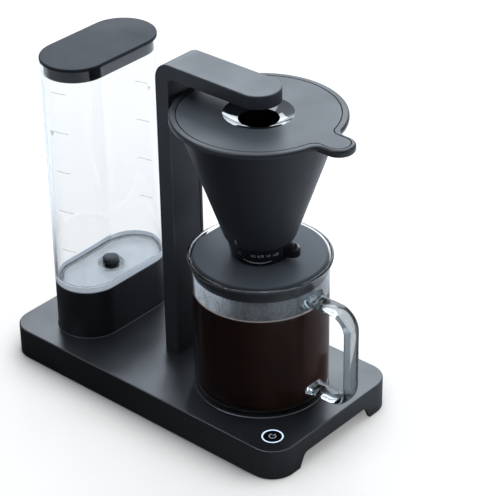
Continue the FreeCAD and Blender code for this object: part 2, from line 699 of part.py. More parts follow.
# ---------------------------------------------------------------- filter holder
def tongue_plan(circle_radius, half, reach, z):
    """Disc with a round-ended tongue towards +X, blended into it."""
    disc = rod(BREW_X, 0, z, circle_radius)
    end = BREW_X + reach - half
    tongue = box((BREW_X, end), (-half, half), z).fuse(rod(end, 0, z, half))
    shape = joined([disc, tongue])
    corner_x = BREW_X + math.sqrt(circle_radius ** 2 - half ** 2)
    inside = [e for e in shape.Edges if len(e.Vertexes) == 2
              and all(abs(v.X - corner_x) < 1e-3 and abs(abs(v.Y) - half) < 1e-3 for v in e.Vertexes)
              and abs(e.Vertexes[0].Z - e.Vertexes[1].Z) > 1e-3]
    return shape.makeFillet(TONGUE_BLEND, inside)


def cone_radius(z):
    """Outer radius of the cone at a height."""
    return CONE_BOTTOM_RADIUS + (z - CONE_BOTTOM) * CONE_SLOPE


def filter_ribs():
    """Thin ribs on the inside of the cone that hold the paper off the wall."""
    low, high = CONE_FLOOR_TOP, 282.0
    depth = CONE_WALL + 1.6
    band = lathe([(cone_radius(low) - depth, low), (cone_radius(low) - CONE_WALL + 0.4, low),
                  (cone_radius(high) - CONE_WALL + 0.4, high), (cone_radius(high) - depth, high)])
    ribs = []
    for k in range(RIB_COUNT):
        fin = box((BREW_X, BREW_X + 80), (-0.7, 0.7), (low, high))
        fin.rotate(V(BREW_X, 0, 0), V(0, 0, 1), 360.0 * k / RIB_COUNT)
        ribs.append(fin.common(band))
    return ribs


def hanger():
    """Lug behind the cone that rests on the bracket's rails."""
    plate = box((-2, 24), (-15, 15), (270, 274))
    guide = box((-2, 24), (-9.95, 9.95), (262, 270))
    inside = lathe([(0, 255), (cone_radius(255) - 1, 255), (cone_radius(285) - 1, 285), (0, 285)])
    return plate.fuse(guide).cut(inside)


def filter_holder():
    inner_low = cone_radius(CONE_FLOOR_TOP) - CONE_WALL
    inner_high = cone_radius(LID_SEAT) - CONE_WALL
    body = lathe([(6, CONE_FLOOR_BOTTOM), (HUB_INNER, CONE_FLOOR_BOTTOM), (HUB_INNER, HUB_BOTTOM),
                  (HUB_OUTER, HUB_BOTTOM), (HUB_OUTER, CONE_FLOOR_BOTTOM), (29.6, CONE_FLOOR_BOTTOM),
                  (CONE_BOTTOM_RADIUS, CONE_BOTTOM), (CONE_TOP_RADIUS, RIM_BOTTOM),
                  (RIM_RADIUS, RIM_BOTTOM), (RIM_RADIUS, RIM_TOP), (RECESS_RADIUS, RIM_TOP),
                  (RECESS_RADIUS, LID_SEAT), (inner_high, LID_SEAT), (inner_low, CONE_FLOOR_TOP),
                  (6, CONE_FLOOR_TOP)])
    body = body.makeFillet(0.8, edges_at_height(body, CONE_BOTTOM))
    plan = tongue_plan(RIM_RADIUS, TONGUE_HALF, TONGUE_REACH, (RIM_BOTTOM, RIM_TOP))
    plan = plan.makeFillet(RIM_ROUND, edges_at_height(plan, RIM_TOP))
    keel = tongue_plan(CONE_TOP_RADIUS - 1, TONGUE_HALF, TONGUE_REACH, (TONGUE_BOTTOM, RIM_BOTTOM + 1))
    keel = keel.makeFillet(2.4, edges_at_height(keel, TONGUE_BOTTOM))
    below = TONGUE_BOTTOM - 1
    seat_radius = cone_radius(LID_SEAT) - 1
    hollow = lathe([(0, below), (cone_radius(below) - 1, below), (seat_radius, LID_SEAT),
                    (seat_radius, RIM_TOP + 1), (0, RIM_TOP + 1)])
    rim = joined([plan, keel]).cut(hollow)
    recess = tongue_plan(RECESS_RADIUS, LID_TONGUE_HALF + LID_GAP, LID_TONGUE_REACH + LID_GAP,
                         (LID_SEAT, RIM_TOP + 1))
    rim_corner = rod(BREW_X, 0, (200, RIM_TOP), RIM_RADIUS)
    rim_corner = rim_corner.makeFillet(RIM_ROUND, edges_at_height(rim_corner, RIM_TOP))
    body = body.common(rim_corner.fuse(rod(BREW_X, 0, (100, 201), RIM_RADIUS)))
    whole = joined([body, rim, hanger()] + filter_ribs()).cut(recess)
    clip_groove = tube(BREW_X, 0, (169.15, 170.95), HUB_OUTER + 1, 18.0)
    return whole.cut(clip_groove)


def filter_lid():
    """Lid plate with its tongue and the dished opening that catches the water."""
    plate = tongue_plan(LID_RADIUS, LID_TONGUE_HALF, LID_TONGUE_REACH, (LID_SEAT, RIM_TOP))
    plate = plate.makeFillet(0.5, edges_at_height(plate, RIM_TOP))
    plate = plate.cut(rod(BREW_X, 0, (290, 300), 31.0))
    skirt = tube(BREW_X, 0, (289.3, LID_SEAT + 0.5), 61.0, 59.4)
    start = V(BREW_X + BOWL_RADIUS, 0, RIM_TOP)
    stop = V(BREW_X + BOWL_HOLE, 0, BOWL_BOTTOM)
    middle = V(BREW_X + 23.9, 0, 293.6)
    low = V(0, 0, -1.8)
    edges = [
        Part.Arc(start, middle, stop).toShape(),
        Part.LineSegment(stop, stop + low).toShape(),
        Part.Arc(stop + low, middle + low - V(0, 0, 0.5), V(BREW_X + 31.0, 0, LID_SEAT)).toShape(),
        Part.LineSegment(V(BREW_X + 31.0, 0, LID_SEAT), V(BREW_X + 31.0, 0, RIM_TOP)).toShape(),
        Part.LineSegment(V(BREW_X + 31.0, 0, RIM_TOP), start).toShape(),
    ]
    bowl = Part.Face(Part.Wire(edges)).revolve(V(BREW_X, 0, 0), V(0, 0, 1), 360)
    return joined([plate, skirt, bowl])


def flow_ring():
    bore = HUB_OUTER + RING_BORE_GAP
    ring = lathe([(RING_TOP_RADIUS, RING_TOP), (RING_BOTTOM_RADIUS, RING_BOTTOM), (21.8, RING_BOTTOM),
                  (21.8, 171.0), (bore, 171.0), (bore, RING_TOP)])
    ring = ring.makeFillet(0.8, [e for e in edges_at_height(ring, RING_BOTTOM)
                                 if abs(e.BoundBox.XMax - BREW_X - RING_BOTTOM_RADIUS) < 1e-3])
    end = LEVER_REACH - LEVER_HALF
    z = (167.0, 175.5)
    lever = box((BREW_X, BREW_X + end), (-LEVER_HALF, LEVER_HALF), z)
    lever = lever.fuse(rod(BREW_X + end, 0, z, LEVER_HALF)).removeSplitter()
    lever = lever.makeFillet(1.2, [e for e in edges_at_height(lever, z[0]) + edges_at_height(lever, z[1])
                                   if e.BoundBox.XMax > BREW_X + 1])
    lever = lever.cut(rod(BREW_X, 0, (160, 190), 23.5))
    lever.rotate(V(BREW_X, 0, 0), V(0, 0, 1), LEVER_ANGLE)
    return joined([ring, lever])


def ring_clip():
    """C-clip that keeps the flow ring on the hub."""
    clip = tube(BREW_X, 0, (169.2, 170.9), 21.2, 18.0)
    return clip.cut(box((BREW_X + 5, BREW_X + 30), (-3, 3), (160, 180)))


def drip_guide():
    disc = rod(BREW_X, 0, (168.0, 170.0), HUB_INNER)
    holes = [rod(BREW_X + 10 * math.cos(a), 10 * math.sin(a), (167, 171), 3.2)
             for a in [math.radians(60 * k) for k in range(6)]]
    return disc.cut([rod(BREW_X, 0, (167, 171), 3.05)] + holes)


def drip_plunger():
    """Closes the cone's outlet from above until the carafe lid lifts it."""
    return lathe([(0, 164.4), (6.0, 164.4), (6.0, 165.4), (3.0, 165.4), (3.0, 172.0), (5.2, 172.0),
                  (5.2, 173.0), (3.0, 173.0), (3.0, CONE_FLOOR_TOP), (8.0, CONE_FLOOR_TOP), (7.0, 186.6),
                  (0, 187.0)])


def drip_spring():
    return coil_spring(BREW_X, 0, (173.6, 180.6), 4.3, 0.45, 5)


# ---------------------------------------------------------------- carafe
def carafe_glass():
    """Straight-sided glass jug with a rounded foot and a flared lip."""
    floor_top = PLATE_TOP + 3.0
    outer = rod(BREW_X, 0, (PLATE_TOP, GLASS_FLARE_START), GLASS_RADIUS)
    outer = outer.makeFillet(GLASS_FOOT_ROUND, edges_at_height(outer, PLATE_TOP))
    bore = GLASS_RADIUS - GLASS_WALL
    space = rod(BREW_X, 0, (floor_top, GLASS_FLARE_START), bore)
    space = space.makeFillet(GLASS_FOOT_ROUND - 2.5, edges_at_height(space, floor_top))
    flare = lathe([(bore, GLASS_FLARE_START), (GLASS_RADIUS, GLASS_FLARE_START),
                   (GLASS_LIP - 0.6, GLASS_TOP - 3), (GLASS_LIP, GLASS_TOP - 1.6),
                   (GLASS_LIP - 0.5, GLASS_TOP - 0.3), (GLASS_LIP - 1.3, GLASS_TOP),
                   (60.6, GLASS_TOP - 0.5), (60.0, GLASS_TOP - 1.8)])
    return outer.cut(space).fuse(flare).removeSplitter()


def carafe_handle():
    """Strap handle: flat glass bar bent into a D, fused to the wall at both ends."""
    x = HANDLE_REACH - HANDLE_THICK / 2
    start = V(BREW_X + 50, 0, HANDLE_TOP_Z)
    route = [start, V(x, 0, HANDLE_TOP_Z), V(x, 0, HANDLE_LOW_Z), V(BREW_X + 50, 0, HANDLE_LOW_Z)]
    path = bent_path(route, HANDLE_BEND)
    half_y = HANDLE_WIDTH / 2
    half_z = HANDLE_THICK / 2
    corners = [(-half_y, -half_z), (half_y, -half_z), (half_y, half_z), (-half_y, half_z)]
    points = [start + V(0, y, z) for y, z in corners]
    section = Part.makePolygon(points + points[:1])
    bar = path.makePipeShell([section], True, False)
    return bar.cut(rod(BREW_X, 0, (0, 200), GLASS_RADIUS))


def carafe_lid():
    """Plug lid with a pouring cut on the side away from the handle."""
    body = lathe([(0, 161.0), (18, 161.0), (20, CARAFE_LID_TOP), (CARAFE_LID_RADIUS - 0.8, CARAFE_LID_TOP),
                  (CARAFE_LID_RADIUS, CARAFE_LID_TOP - 0.8), (59.3, 157.6), (56.4, 156.6), (55.4, 146.0),
                  (53.8, 146.0), (54.4, 158.8), (17.0, 158.8), (17.0, 158.0), (0, 158.0)])
    pour = box((BREW_X - 70, BREW_X - 55.0), (-15, 15), (140, 165))
    vent = rod(BREW_X, 0, (150, 165), 4.0)
    return body.cut([pour, vent])


# ---------------------------------------------------------------- export
def main():
    os.makedirs("parts", exist_ok=True)
    makers = [
        base_shell, bottom_plate, base_screws, rubber_feet, hot_plate, hot_plate_seal, cord_gland,
        led_ring, power_button, button_board, button_switch,
        heater_casting, heater_element, heater_strap, strap_screws, thermostat, thermal_fuse,
        check_valve, inlet_hose, outlet_hose, riser_tube, outlet_nozzle,
        control_board, power_relay, supply_module, terminal_block, element_leads,
        tank_dock, dock_port, dock_seal, tank, tank_valve, valve_guide, valve_spring, tank_lid,
        post_shell, post_cover, post_screws, holder_bracket, bracket_screws,
        filter_holder, filter_lid, flow_ring, ring_clip, drip_guide, drip_plunger, drip_spring,
        carafe_glass, carafe_handle, carafe_lid,
    ]
    for maker in makers:
        save(maker.__name__, maker())


main()
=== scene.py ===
"""Looks for the filter coffee brewer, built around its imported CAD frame.

Places are given in millimetres about the middle of the base, on the floor, the way the
part's own dimensions are.  spot() turns them into metres in the frame.
"""
import itertools
import math
import random

import bmesh
import bpy
from mathutils import Matrix, Vector


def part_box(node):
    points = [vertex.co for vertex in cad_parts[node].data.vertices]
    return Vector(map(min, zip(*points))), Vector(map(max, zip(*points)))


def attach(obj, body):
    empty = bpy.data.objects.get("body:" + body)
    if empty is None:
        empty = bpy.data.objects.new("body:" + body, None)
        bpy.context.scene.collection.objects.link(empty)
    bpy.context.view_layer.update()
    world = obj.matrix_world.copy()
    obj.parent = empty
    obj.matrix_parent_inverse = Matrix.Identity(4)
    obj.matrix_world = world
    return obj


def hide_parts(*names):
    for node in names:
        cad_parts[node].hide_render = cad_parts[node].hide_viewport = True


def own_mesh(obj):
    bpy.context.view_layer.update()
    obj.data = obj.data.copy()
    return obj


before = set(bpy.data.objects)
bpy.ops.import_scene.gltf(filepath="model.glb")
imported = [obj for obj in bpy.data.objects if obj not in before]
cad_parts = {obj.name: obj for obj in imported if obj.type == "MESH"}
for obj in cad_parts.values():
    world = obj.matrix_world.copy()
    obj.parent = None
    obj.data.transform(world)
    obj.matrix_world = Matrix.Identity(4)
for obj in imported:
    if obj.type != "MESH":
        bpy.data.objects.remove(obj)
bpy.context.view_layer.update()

MM = 0.001


def centre_mm(node):
    """Middle of a node's box, in frame millimetres."""
    low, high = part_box(node)
    return (low + high) / 2 / MM


BASE_CENTRE = centre_mm("base_shell")


def spot(x, y, z):
    """Point in the frame, in metres, from millimetres about the base centre."""
    return Vector(((BASE_CENTRE.x + x) * MM, (BASE_CENTRE.y + y) * MM, z * MM))


# ---------------------------------------------------------------- measures, in mm
BREW_X = centre_mm("hot_plate").x - BASE_CENTRE.x
TANK_X = centre_mm("tank").x - BASE_CENTRE.x
BUTTON_X = centre_mm("led_ring").x - BASE_CENTRE.x
BUTTON_Y = centre_mm("led_ring").y
BASE_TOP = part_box("base_shell")[1].z / MM

# tank, its dock and its lid; TANK_RUN is from the middle to the centre of a rounded end
TANK_RADIUS = 31.2
TANK_RUN = 28.4
TANK_MARKS = [122.4, 162.6, 202.6, 241.6, 279.8]
MARK_ANGLES = (-89.0, -62.5)
MARK_HALF = 0.35
MARK_LIFTS = (0.01, 0.12)
POINTER_ANGLE = -94.0
# (height, half angle)
POINTER_LEVELS = ((236.0, 0.3), (241.0, 5.2))
# (inset from the tank's outline, height)
TANK_EDGE_PROFILE = [(0.9, 79.3), (1.9, 79.3), (1.9, 84.4), (0.9, 84.4)]
BEAD_PROFILE = [(0.3, 0.02), (-0.75, 0.02), (-0.7, 0.25), (-0.45, 0.55), (-0.1, 0.75), (0.3, 0.85)]
# (radius, height)
BAND_PROFILE = [(5.5, 84.25), (6.5, 84.2), (6.85, 84.35), (6.85, 84.8), (6.5, 84.95), (5.5, 84.95)]
# painted shade patches on the tank lid's skirt, also as (radius, height), and their angle spans
SHADE_PATCH_PROFILE = [(28.0, 291.2), (28.45, 291.2), (28.45, 299.6), (28.0, 299.6)]
SHADE_PATCH_ANGLES = ((4.0, 22.0), (73.0, 85.0), (158.0, 176.0))

# carafe glass, with outlines as (radius, height), and the coffee in it
GLASS_RADIUS = 59.5
GLASS_BORE = 57.3
GLASS_FOOT = 30.8
GLASS_FLOOR = 32.9
GLASS_FOOT_ROUND = 9.0
GLASS_BORE_ROUND = 7.6
GLASS_FLARE = 148.5
FLARE_OUTSIDE = [(59.7, 150.3), (60.2, 152.3), (61.4, 155.5), (62.45, 158.2)]
FLARE_INSIDE = [(59.6, 158.4), (58.6, 154.6), (57.75, 151.4), (57.4, 149.6)]
LIP_RADIUS = 61.55
LIP_LEVEL = 160.3
LIP_ROUND = 1.42
LID_SKIRT_LOW = 146.0
MID_WALL = 80.0
COFFEE_TOP = 128.2
COFFEE_GAP = 0.12
MENISCUS = 1.2
MENISCUS_REACH = 0.9

# flow ring and cone, as (height, radius) at two levels, and the filter lid's bowl
RING_LOW = (164.1, 25.2)
RING_HIGH = (181.0, 29.2)
CONE_LOW = (182.9, 31.3)
CONE_HIGH = (292.6, 68.6)
BOWL_RADIUS = 30.05

# printing on the flow ring and the cone, angles in degrees about the brew column
DIAL_NUMBERS = (("0.5", -61.7), ("0.75", -48.4), ("1.0", -35.4), ("1.25", -21.2))
DIAL_LEVEL = 174.5
DIAL_HEIGHT = 2.7
DIAL_NARROWING = 0.86
CURVE_START = -83.0
CURVE_SWEEP = 55.5
CURVE_LEVEL = 166.9
CURVE_SAG = 2.4
CLOSED_MARK_START = -92.5
CLOSED_MARK_LEVELS = (173.4, 174.8, 176.2)
INDEX_START = -88.3
INDEX_LEVEL = 188.0

# button sign
SIGN_RING = (2.5, 3.35)
SIGN_BAR = (0.6, 4.0)
SIGN_BAR_HALF = 0.45
SIGN_START = 137.0
SIGN_SWEEP = 290.0
SIGN_DEPTH = -0.1
SIGN_LIFT = 0.04

# glass handle; its feet grow by (width, thickness) where they meet the wall
HANDLE_MID_X = 177.85
HANDLE_LEVELS = (138.0, 48.5)
HANDLE_BEND = 17.5
HANDLE_HALF_WIDTH = 8.5
HANDLE_HALF_THICK = 3.65
HANDLE_FULLNESS = 2.5
HANDLE_FOOT = 9.0
HANDLE_SEAT = 6.0
FOOT_GROWTH_TOP = (6.5, 3.0)
FOOT_GROWTH_LOW = (2.2, 1.6)

# condensation drops, with (reach, depth) rings as shares of a drop's size
DROP_COUNT = 110
DROP_SIDES = 8
DROP_RINGS = ((0.55, 0.36), (0.9, 0.16), (1.0, 0.0))

# spring: the joint that presses it, its fixed top end, how far the joint moves, its body
SPRINGS = {
    "valve_spring": ("tank_valve_lift", 71.0, 3.0, "water_tank"),
    "drip_spring": ("drip_stop_lift", 181.2, 2.5, "filter_unit"),
}

# studio, in metres: panel or strip, its place, its target, width, height and power in watts
FLOOR_REACH = 6.0
FLOOR_GLOW = 0.6
LIGHT_TINT = (0.82, 0.905, 1.0)
LIGHTS = (
    ("sky_panel", (-0.1, 0.25, 1.7), (0.0, 0.0, 0.1), 1.5, 1.5, 16.8),
    ("rear_panel", (-0.85, 1.35, 1.05), (0.0, 0.0, 0.12), 1.5, 0.8, 12.9),
    ("right_strip", (1.5, 0.7, 0.8), (0.05, 0.0, 0.12), 0.35, 1.3, 2.2),
)
GLINT = ("glint_strip", (-0.25, -1.0, 1.1), (0.07, -0.06, 0.16), 0.9, 0.04, 4.0)

# camera, about the base centre
VIEW_AZIMUTH = 41.639
VIEW_ELEVATION = 31.205
VIEW_ROLL = -1.026
VIEW_DISTANCE = 1739.25
VIEW_TARGET = (41.783, 15.231, 145.207)
LENS = 144.37


# ---------------------------------------------------------------- shader helpers
def new_material(name):
    material = bpy.data.materials.new(name)
    material.use_nodes = True
    tree = material.node_tree
    return material, tree, tree.nodes["Principled BSDF"]


def add_node(tree, kind, inputs=None, **fields):
    """New node: fields are its own settings, inputs are values or sockets by name or number."""
    made = tree.nodes.new(kind)
    for field, value in fields.items():
        setattr(made, field, value)
    for name, value in (inputs or {}).items():
        feed(tree, made.inputs[name], value)
    return made


def feed(tree, socket, value):
    """Links value to the socket if it is a socket, and else sets it."""
    if isinstance(value, bpy.types.NodeSocket):
        tree.links.new(value, socket)
    else:
        socket.default_value = value


def set_inputs(tree, node, values):
    for name, value in values.items():
        feed(tree, node.inputs[name], value)


def rgb(red, green, blue):
    return (red, green, blue, 1.0)


def math_node(tree, operation, a, b=0.0, clamp=False):
    node = add_node(tree, "ShaderNodeMath", operation=operation, use_clamp=clamp)
    feed(tree, node.inputs[0], a)
    feed(tree, node.inputs[1], b)
    return node.outputs[0]


def place_socket(tree):
    """Position in the frame, in metres, which moves with the body."""
    return add_node(tree, "ShaderNodeTexCoord").outputs["Object"]


def noise(tree, place, size_mm, detail=2.0, roughness=0.5):
    """Noise whose lumps are about size_mm across, from 0 to 1."""
    values = {"Vector": place, "Scale": 1.0 / (size_mm * MM), "Detail": detail, "Roughness": roughness}
    return add_node(tree, "ShaderNodeTexNoise", values).outputs[0]


def spread(tree, source, low, high, start=0.3, stop=0.7):
    """Maps the range start to stop onto low to high; as given, it takes the middle of a noise."""
    values = {"Value": source, "From Min": start, "From Max": stop, "To Min": low, "To Max": high}
    return add_node(tree, "ShaderNodeMapRange", values).outputs[0]


def blend(tree, factor, first, second):
    """Colour that goes from first to second as factor goes from 0 to 1."""
    node = add_node(tree, "ShaderNodeMix", data_type="RGBA")
    feed(tree, node.inputs["Factor"], factor)
    feed(tree, node.inputs["A"], first)
    feed(tree, node.inputs["B"], second)
    return node.outputs["Result"]


def bump(tree, height, depth_mm):
    return add_node(tree, "ShaderNodeBump", {"Height": height, "Distance": depth_mm * MM}).outputs[0]


def vector_math(tree, operation, first, second=(0.0, 0.0, 0.0)):
    return add_node(tree, "ShaderNodeVectorMath", {0: first, 1: second}, operation=operation)


def along(tree, place, direction):
    """How far place lies along direction."""
    return vector_math(tree, "DOT_PRODUCT", place, tuple(direction)).outputs["Value"]


def use_surface(tree, shader):
    tree.links.new(shader.outputs[0], tree.nodes["Material Output"].inputs["Surface"])


# ---------------------------------------------------------------- materials
def moulded(name, colour, roughness, grain=0.35, depth=0.006, specular=0.5, smudge=0.05, light=1.25):
    """Moulded plastic: a fine spark-eroded grain, faint mottling and handling smudges."""
    material, tree, surface = new_material(name)
    place = place_socket(tree)
    fine = noise(tree, place, grain, detail=3.0)
    broad = noise(tree, place, 38.0, detail=2.0)
    paler = rgb(*[channel * light for channel in colour])
    speckle = spread(tree, fine, 0.0, 1.0)
    tone = blend(tree, math_node(tree, "MULTIPLY", speckle, 0.5), rgb(*colour), paler)
    set_inputs(tree, surface, {
        "Base Color": tone,
        "Roughness": spread(tree, broad, roughness - smudge, roughness + smudge),
        "Specular IOR Level": specular,
        "Normal": bump(tree, fine, depth),
    })
    return material


def lid_plastic():
    """Filter lid: satin plate with a polished bowl round the middle hole."""
    material = moulded("lid_satin", (0.034, 0.038, 0.045), 0.42, specular=0.5)
    tree = material.node_tree
    surface = tree.nodes["Principled BSDF"]
    place = place_socket(tree)
    away = vector_math(tree, "SUBTRACT", place, tuple(spot(BREW_X, 0, 0)))
    flat = vector_math(tree, "MULTIPLY", away.outputs[0], (1.0, 1.0, 0.0))
    reach = vector_math(tree, "LENGTH", flat.outputs[0]).outputs["Value"]
    in_bowl = math_node(tree, "LESS_THAN", reach, BOWL_RADIUS * MM)
    satin = surface.inputs["Roughness"].links[0].from_socket
    rough = add_node(tree, "ShaderNodeMix", data_type="FLOAT")
    feed(tree, rough.inputs["Factor"], in_bowl)
    feed(tree, rough.inputs["A"], satin)
    feed(tree, rough.inputs["B"], 0.06)
    tree.links.new(rough.outputs["Result"], surface.inputs["Roughness"])
    sheen = math_node(tree, "MULTIPLY", in_bowl, 0.68)
    set_inputs(tree, surface, {"Coat Weight": sheen, "Coat Roughness": 0.05, "Coat IOR": 2.1})
    return material


def clear(name, tint, ior, waviness=0.0):
    """Polished glass or clear plastic that lets lamp light through to what is behind it."""
    material, tree, surface = new_material(name)
    set_inputs(tree, surface, {
        "Base Color": rgb(*tint), "Roughness": 0.0, "IOR": ior, "Transmission Weight": 1.0,
    })
    if waviness:
        waves = noise(tree, place_socket(tree), 22.0, detail=1.0)
        tree.links.new(bump(tree, waves, waviness), surface.inputs["Normal"])
    path = add_node(tree, "ShaderNodeLightPath")
    veil = add_node(tree, "ShaderNodeBsdfTransparent", {"Color": rgb(*tint)})
    mix = add_node(tree, "ShaderNodeMixShader", {
        0: path.outputs["Is Shadow Ray"], 1: surface.outputs[0], 2: veil.outputs[0],
    })
    use_surface(tree, mix)
    return material


def fogged():
    """Steam on glass: a thin haze, denser near the lid and on the cool side, broken by runs, with a painted
    glow on that side standing in for light from the left.
    """
    material, tree, surface = new_material("steam_film")
    place = place_socket(tree)
    level = add_node(tree, "ShaderNodeSeparateXYZ", {0: place}).outputs[2]
    rise = spread(tree, level, 0.10, 0.34, (COFFEE_TOP + 2) * MM, LID_SKIRT_LOW * MM)
    fog_and_glow_side = Vector((-0.75, -0.66, 0.0))
    from_axis = math_node(tree, "SUBTRACT", along(tree, place, fog_and_glow_side), spot(BREW_X, 0, 0).dot(fog_and_glow_side))
    fog_and_glow_share = spread(tree, from_axis, 0.0, 0.5, 0.015, 0.055)
    runs = add_node(tree, "ShaderNodeMapping", {"Vector": place, "Scale": (1.0, 1.0, 0.35)}).outputs[0]
    patches = spread(tree, noise(tree, runs, 9.0, detail=3.0), 0.55, 1.3)
    beads = spread(tree, noise(tree, place, 1.6, detail=2.0), 0.75, 1.2)
    grazing = add_node(tree, "ShaderNodeLayerWeight", {"Blend": 0.35}).outputs["Facing"]
    depth = math_node(tree, "MULTIPLY_ADD", grazing, 1.9)
    depth.node.inputs[2].default_value = 0.7
    rise = math_node(tree, "ADD", rise, fog_and_glow_share)
    cover = math_node(tree, "MULTIPLY", math_node(tree, "MULTIPLY", rise, patches), beads)
    cover = math_node(tree, "MULTIPLY", cover, depth, clamp=True)
    white = rgb(0.86, 0.90, 0.95)
    back = add_node(tree, "ShaderNodeBsdfTranslucent", {"Color": white})
    front = add_node(tree, "ShaderNodeBsdfDiffuse", {"Color": white})
    # painted glow: emission on the cool side, standing in for light that side lacks
    painted_glow_light = add_node(tree, "ShaderNodeEmission", {
        "Color": white, "Strength": math_node(tree, "MULTIPLY", fog_and_glow_share, 0.42),
    })
    lit = add_node(tree, "ShaderNodeAddShader", {0: back.outputs[0], 1: front.outputs[0]})
    haze = add_node(tree, "ShaderNodeAddShader", {0: lit.outputs[0], 1: painted_glow_light.outputs[0]})
    open_air = add_node(tree, "ShaderNodeBsdfTransparent")
    mix = add_node(tree, "ShaderNodeMixShader", {0: cover, 1: open_air.outputs[0], 2: haze.outputs[0]})
    use_surface(tree, mix)
    tree.nodes.remove(surface)
    return material


def painted_glow(name, colour, roughness, low, high):
    """Pale material that glows a little and unevenly: a painted glow that stands in for light falling on it,
    though it is no lamp.
    """
    material, tree, surface = new_material(name)
    grain = noise(tree, place_socket(tree), 1.5)
    set_inputs(tree, surface, {
        "Base Color": rgb(*colour),
        "Roughness": roughness,
        "Emission Color": rgb(*colour),
        "Emission Strength": spread(tree, grain, low, high),
    })
    return material


def printed(name, colour):
    """Pad-printed ink with slightly uneven cover."""
    material, tree, surface = new_material(name)
    cover = noise(tree, place_socket(tree), 0.5)
    thin = rgb(*[channel * 0.8 for channel in colour])
    set_inputs(tree, surface, {
        "Base Color": blend(tree, spread(tree, cover, 0.0, 1.0), thin, rgb(*colour)),
        "Roughness": 0.45,
    })
    return material


def etched():
    """Frosted mark moulded into the clear tank wall."""
    material, tree, surface = new_material("etched_mark")
    frost = noise(tree, place_socket(tree), 0.6)
    set_inputs(tree, surface, {
        "Base Color": blend(tree, frost, rgb(0.42, 0.45, 0.48), rgb(0.62, 0.65, 0.68)),
        "Roughness": 0.6,
        "Alpha": spread(tree, frost, 0.22, 0.38),
    })
    return material


def metal(name, colour, roughness, grain=0.4, brushed=False):
    """Bare metal with a fine texture, drawn out along X where it is brushed."""
    material, tree, surface = new_material(name)
    place = place_socket(tree)
    if brushed:
        stretch = add_node(tree, "ShaderNodeMapping", {"Vector": place, "Scale": (1.0, 18.0, 18.0)})
        place = stretch.outputs[0]
    texture = noise(tree, place, grain, detail=4.0, roughness=0.6)
    darker = rgb(*[channel * 0.8 for channel in colour])
    set_inputs(tree, surface, {
        "Base Color": blend(tree, spread(tree, texture, 0.0, 1.0), darker, rgb(*colour)),
        "Metallic": 1.0,
        "Roughness": spread(tree, texture, roughness - 0.06, roughness + 0.08),
        "Normal": bump(tree, texture, 0.012),
    })
    return material


def rubber(name, colour, roughness=0.75, specular=0.35):
    """Rubber or silicone: coarser and more uneven than the moulded plastic."""
    return moulded(name, colour, roughness, grain=0.8, depth=0.02, specular=specular, smudge=0.08,
                   light=1.5)


def board_material():
    """Green solder mask with a faint pattern of tracks under it."""
    material, tree, surface = new_material("solder_mask")
    place = place_socket(tree)
    tracks = add_node(tree, "ShaderNodeTexBrick", {"Vector": place, "Scale": 140.0})
    mask = blend(tree, tracks.outputs["Fac"], rgb(0.012, 0.10, 0.04), rgb(0.03, 0.19, 0.08))
    set_inputs(tree, surface, {"Base Color": mask, "Roughness": 0.35})
    return material


def light_guide():
    """Frosted ring lit from below, a little uneven round its circle."""
    material, tree, surface = new_material("lit_ring")
    patches = noise(tree, place_socket(tree), 5.0)
    set_inputs(tree, surface, {
        "Base Color": rgb(0.75, 0.85, 1.0),
        "Roughness": 0.4,
        "Emission Color": rgb(0.62, 0.78, 1.0),
        "Emission Strength": spread(tree, patches, 0.75, 1.1),
    })
    return material


def coffee_side():
    """Coffee against the glass: no shine of its own, and browner and paler towards its right side, a painted
    glow of light coming through it from the right.
    """
    material, tree, surface = new_material("coffee_side")
    place = place_socket(tree)
    parts = add_node(tree, "ShaderNodeSeparateXYZ", {0: place})
    across = math_node(tree, "SUBTRACT", parts.outputs[0], spot(BREW_X, 0, 0).x)
    # painted light: its share grows across the carafe towards the right
    lit = spread(tree, across, 0.0, 1.0, -0.03, 0.057)
    swirl = noise(tree, place, 30.0, detail=1.0)
    share = math_node(tree, "MULTIPLY", lit, spread(tree, swirl, 0.6, 1.0))
    set_inputs(tree, surface, {
        "Base Color": blend(tree, share, rgb(0.17, 0.095, 0.095), rgb(0.27, 0.11, 0.065)),
        "Roughness": 0.8,
        "Specular IOR Level": 0.0,
    })
    return material


def coffee_top():
    """Still, glossy surface of the coffee."""
    material, tree, surface = new_material("coffee_top")
    swirl = noise(tree, place_socket(tree), 24.0, detail=1.0)
    set_inputs(tree, surface, {
        "Base Color": blend(tree, swirl, rgb(0.006, 0.003, 0.002), rgb(0.016, 0.009, 0.006)),
        "Roughness": 0.08,
        "IOR": 1.33,
    })
    return material


MATERIALS = {}


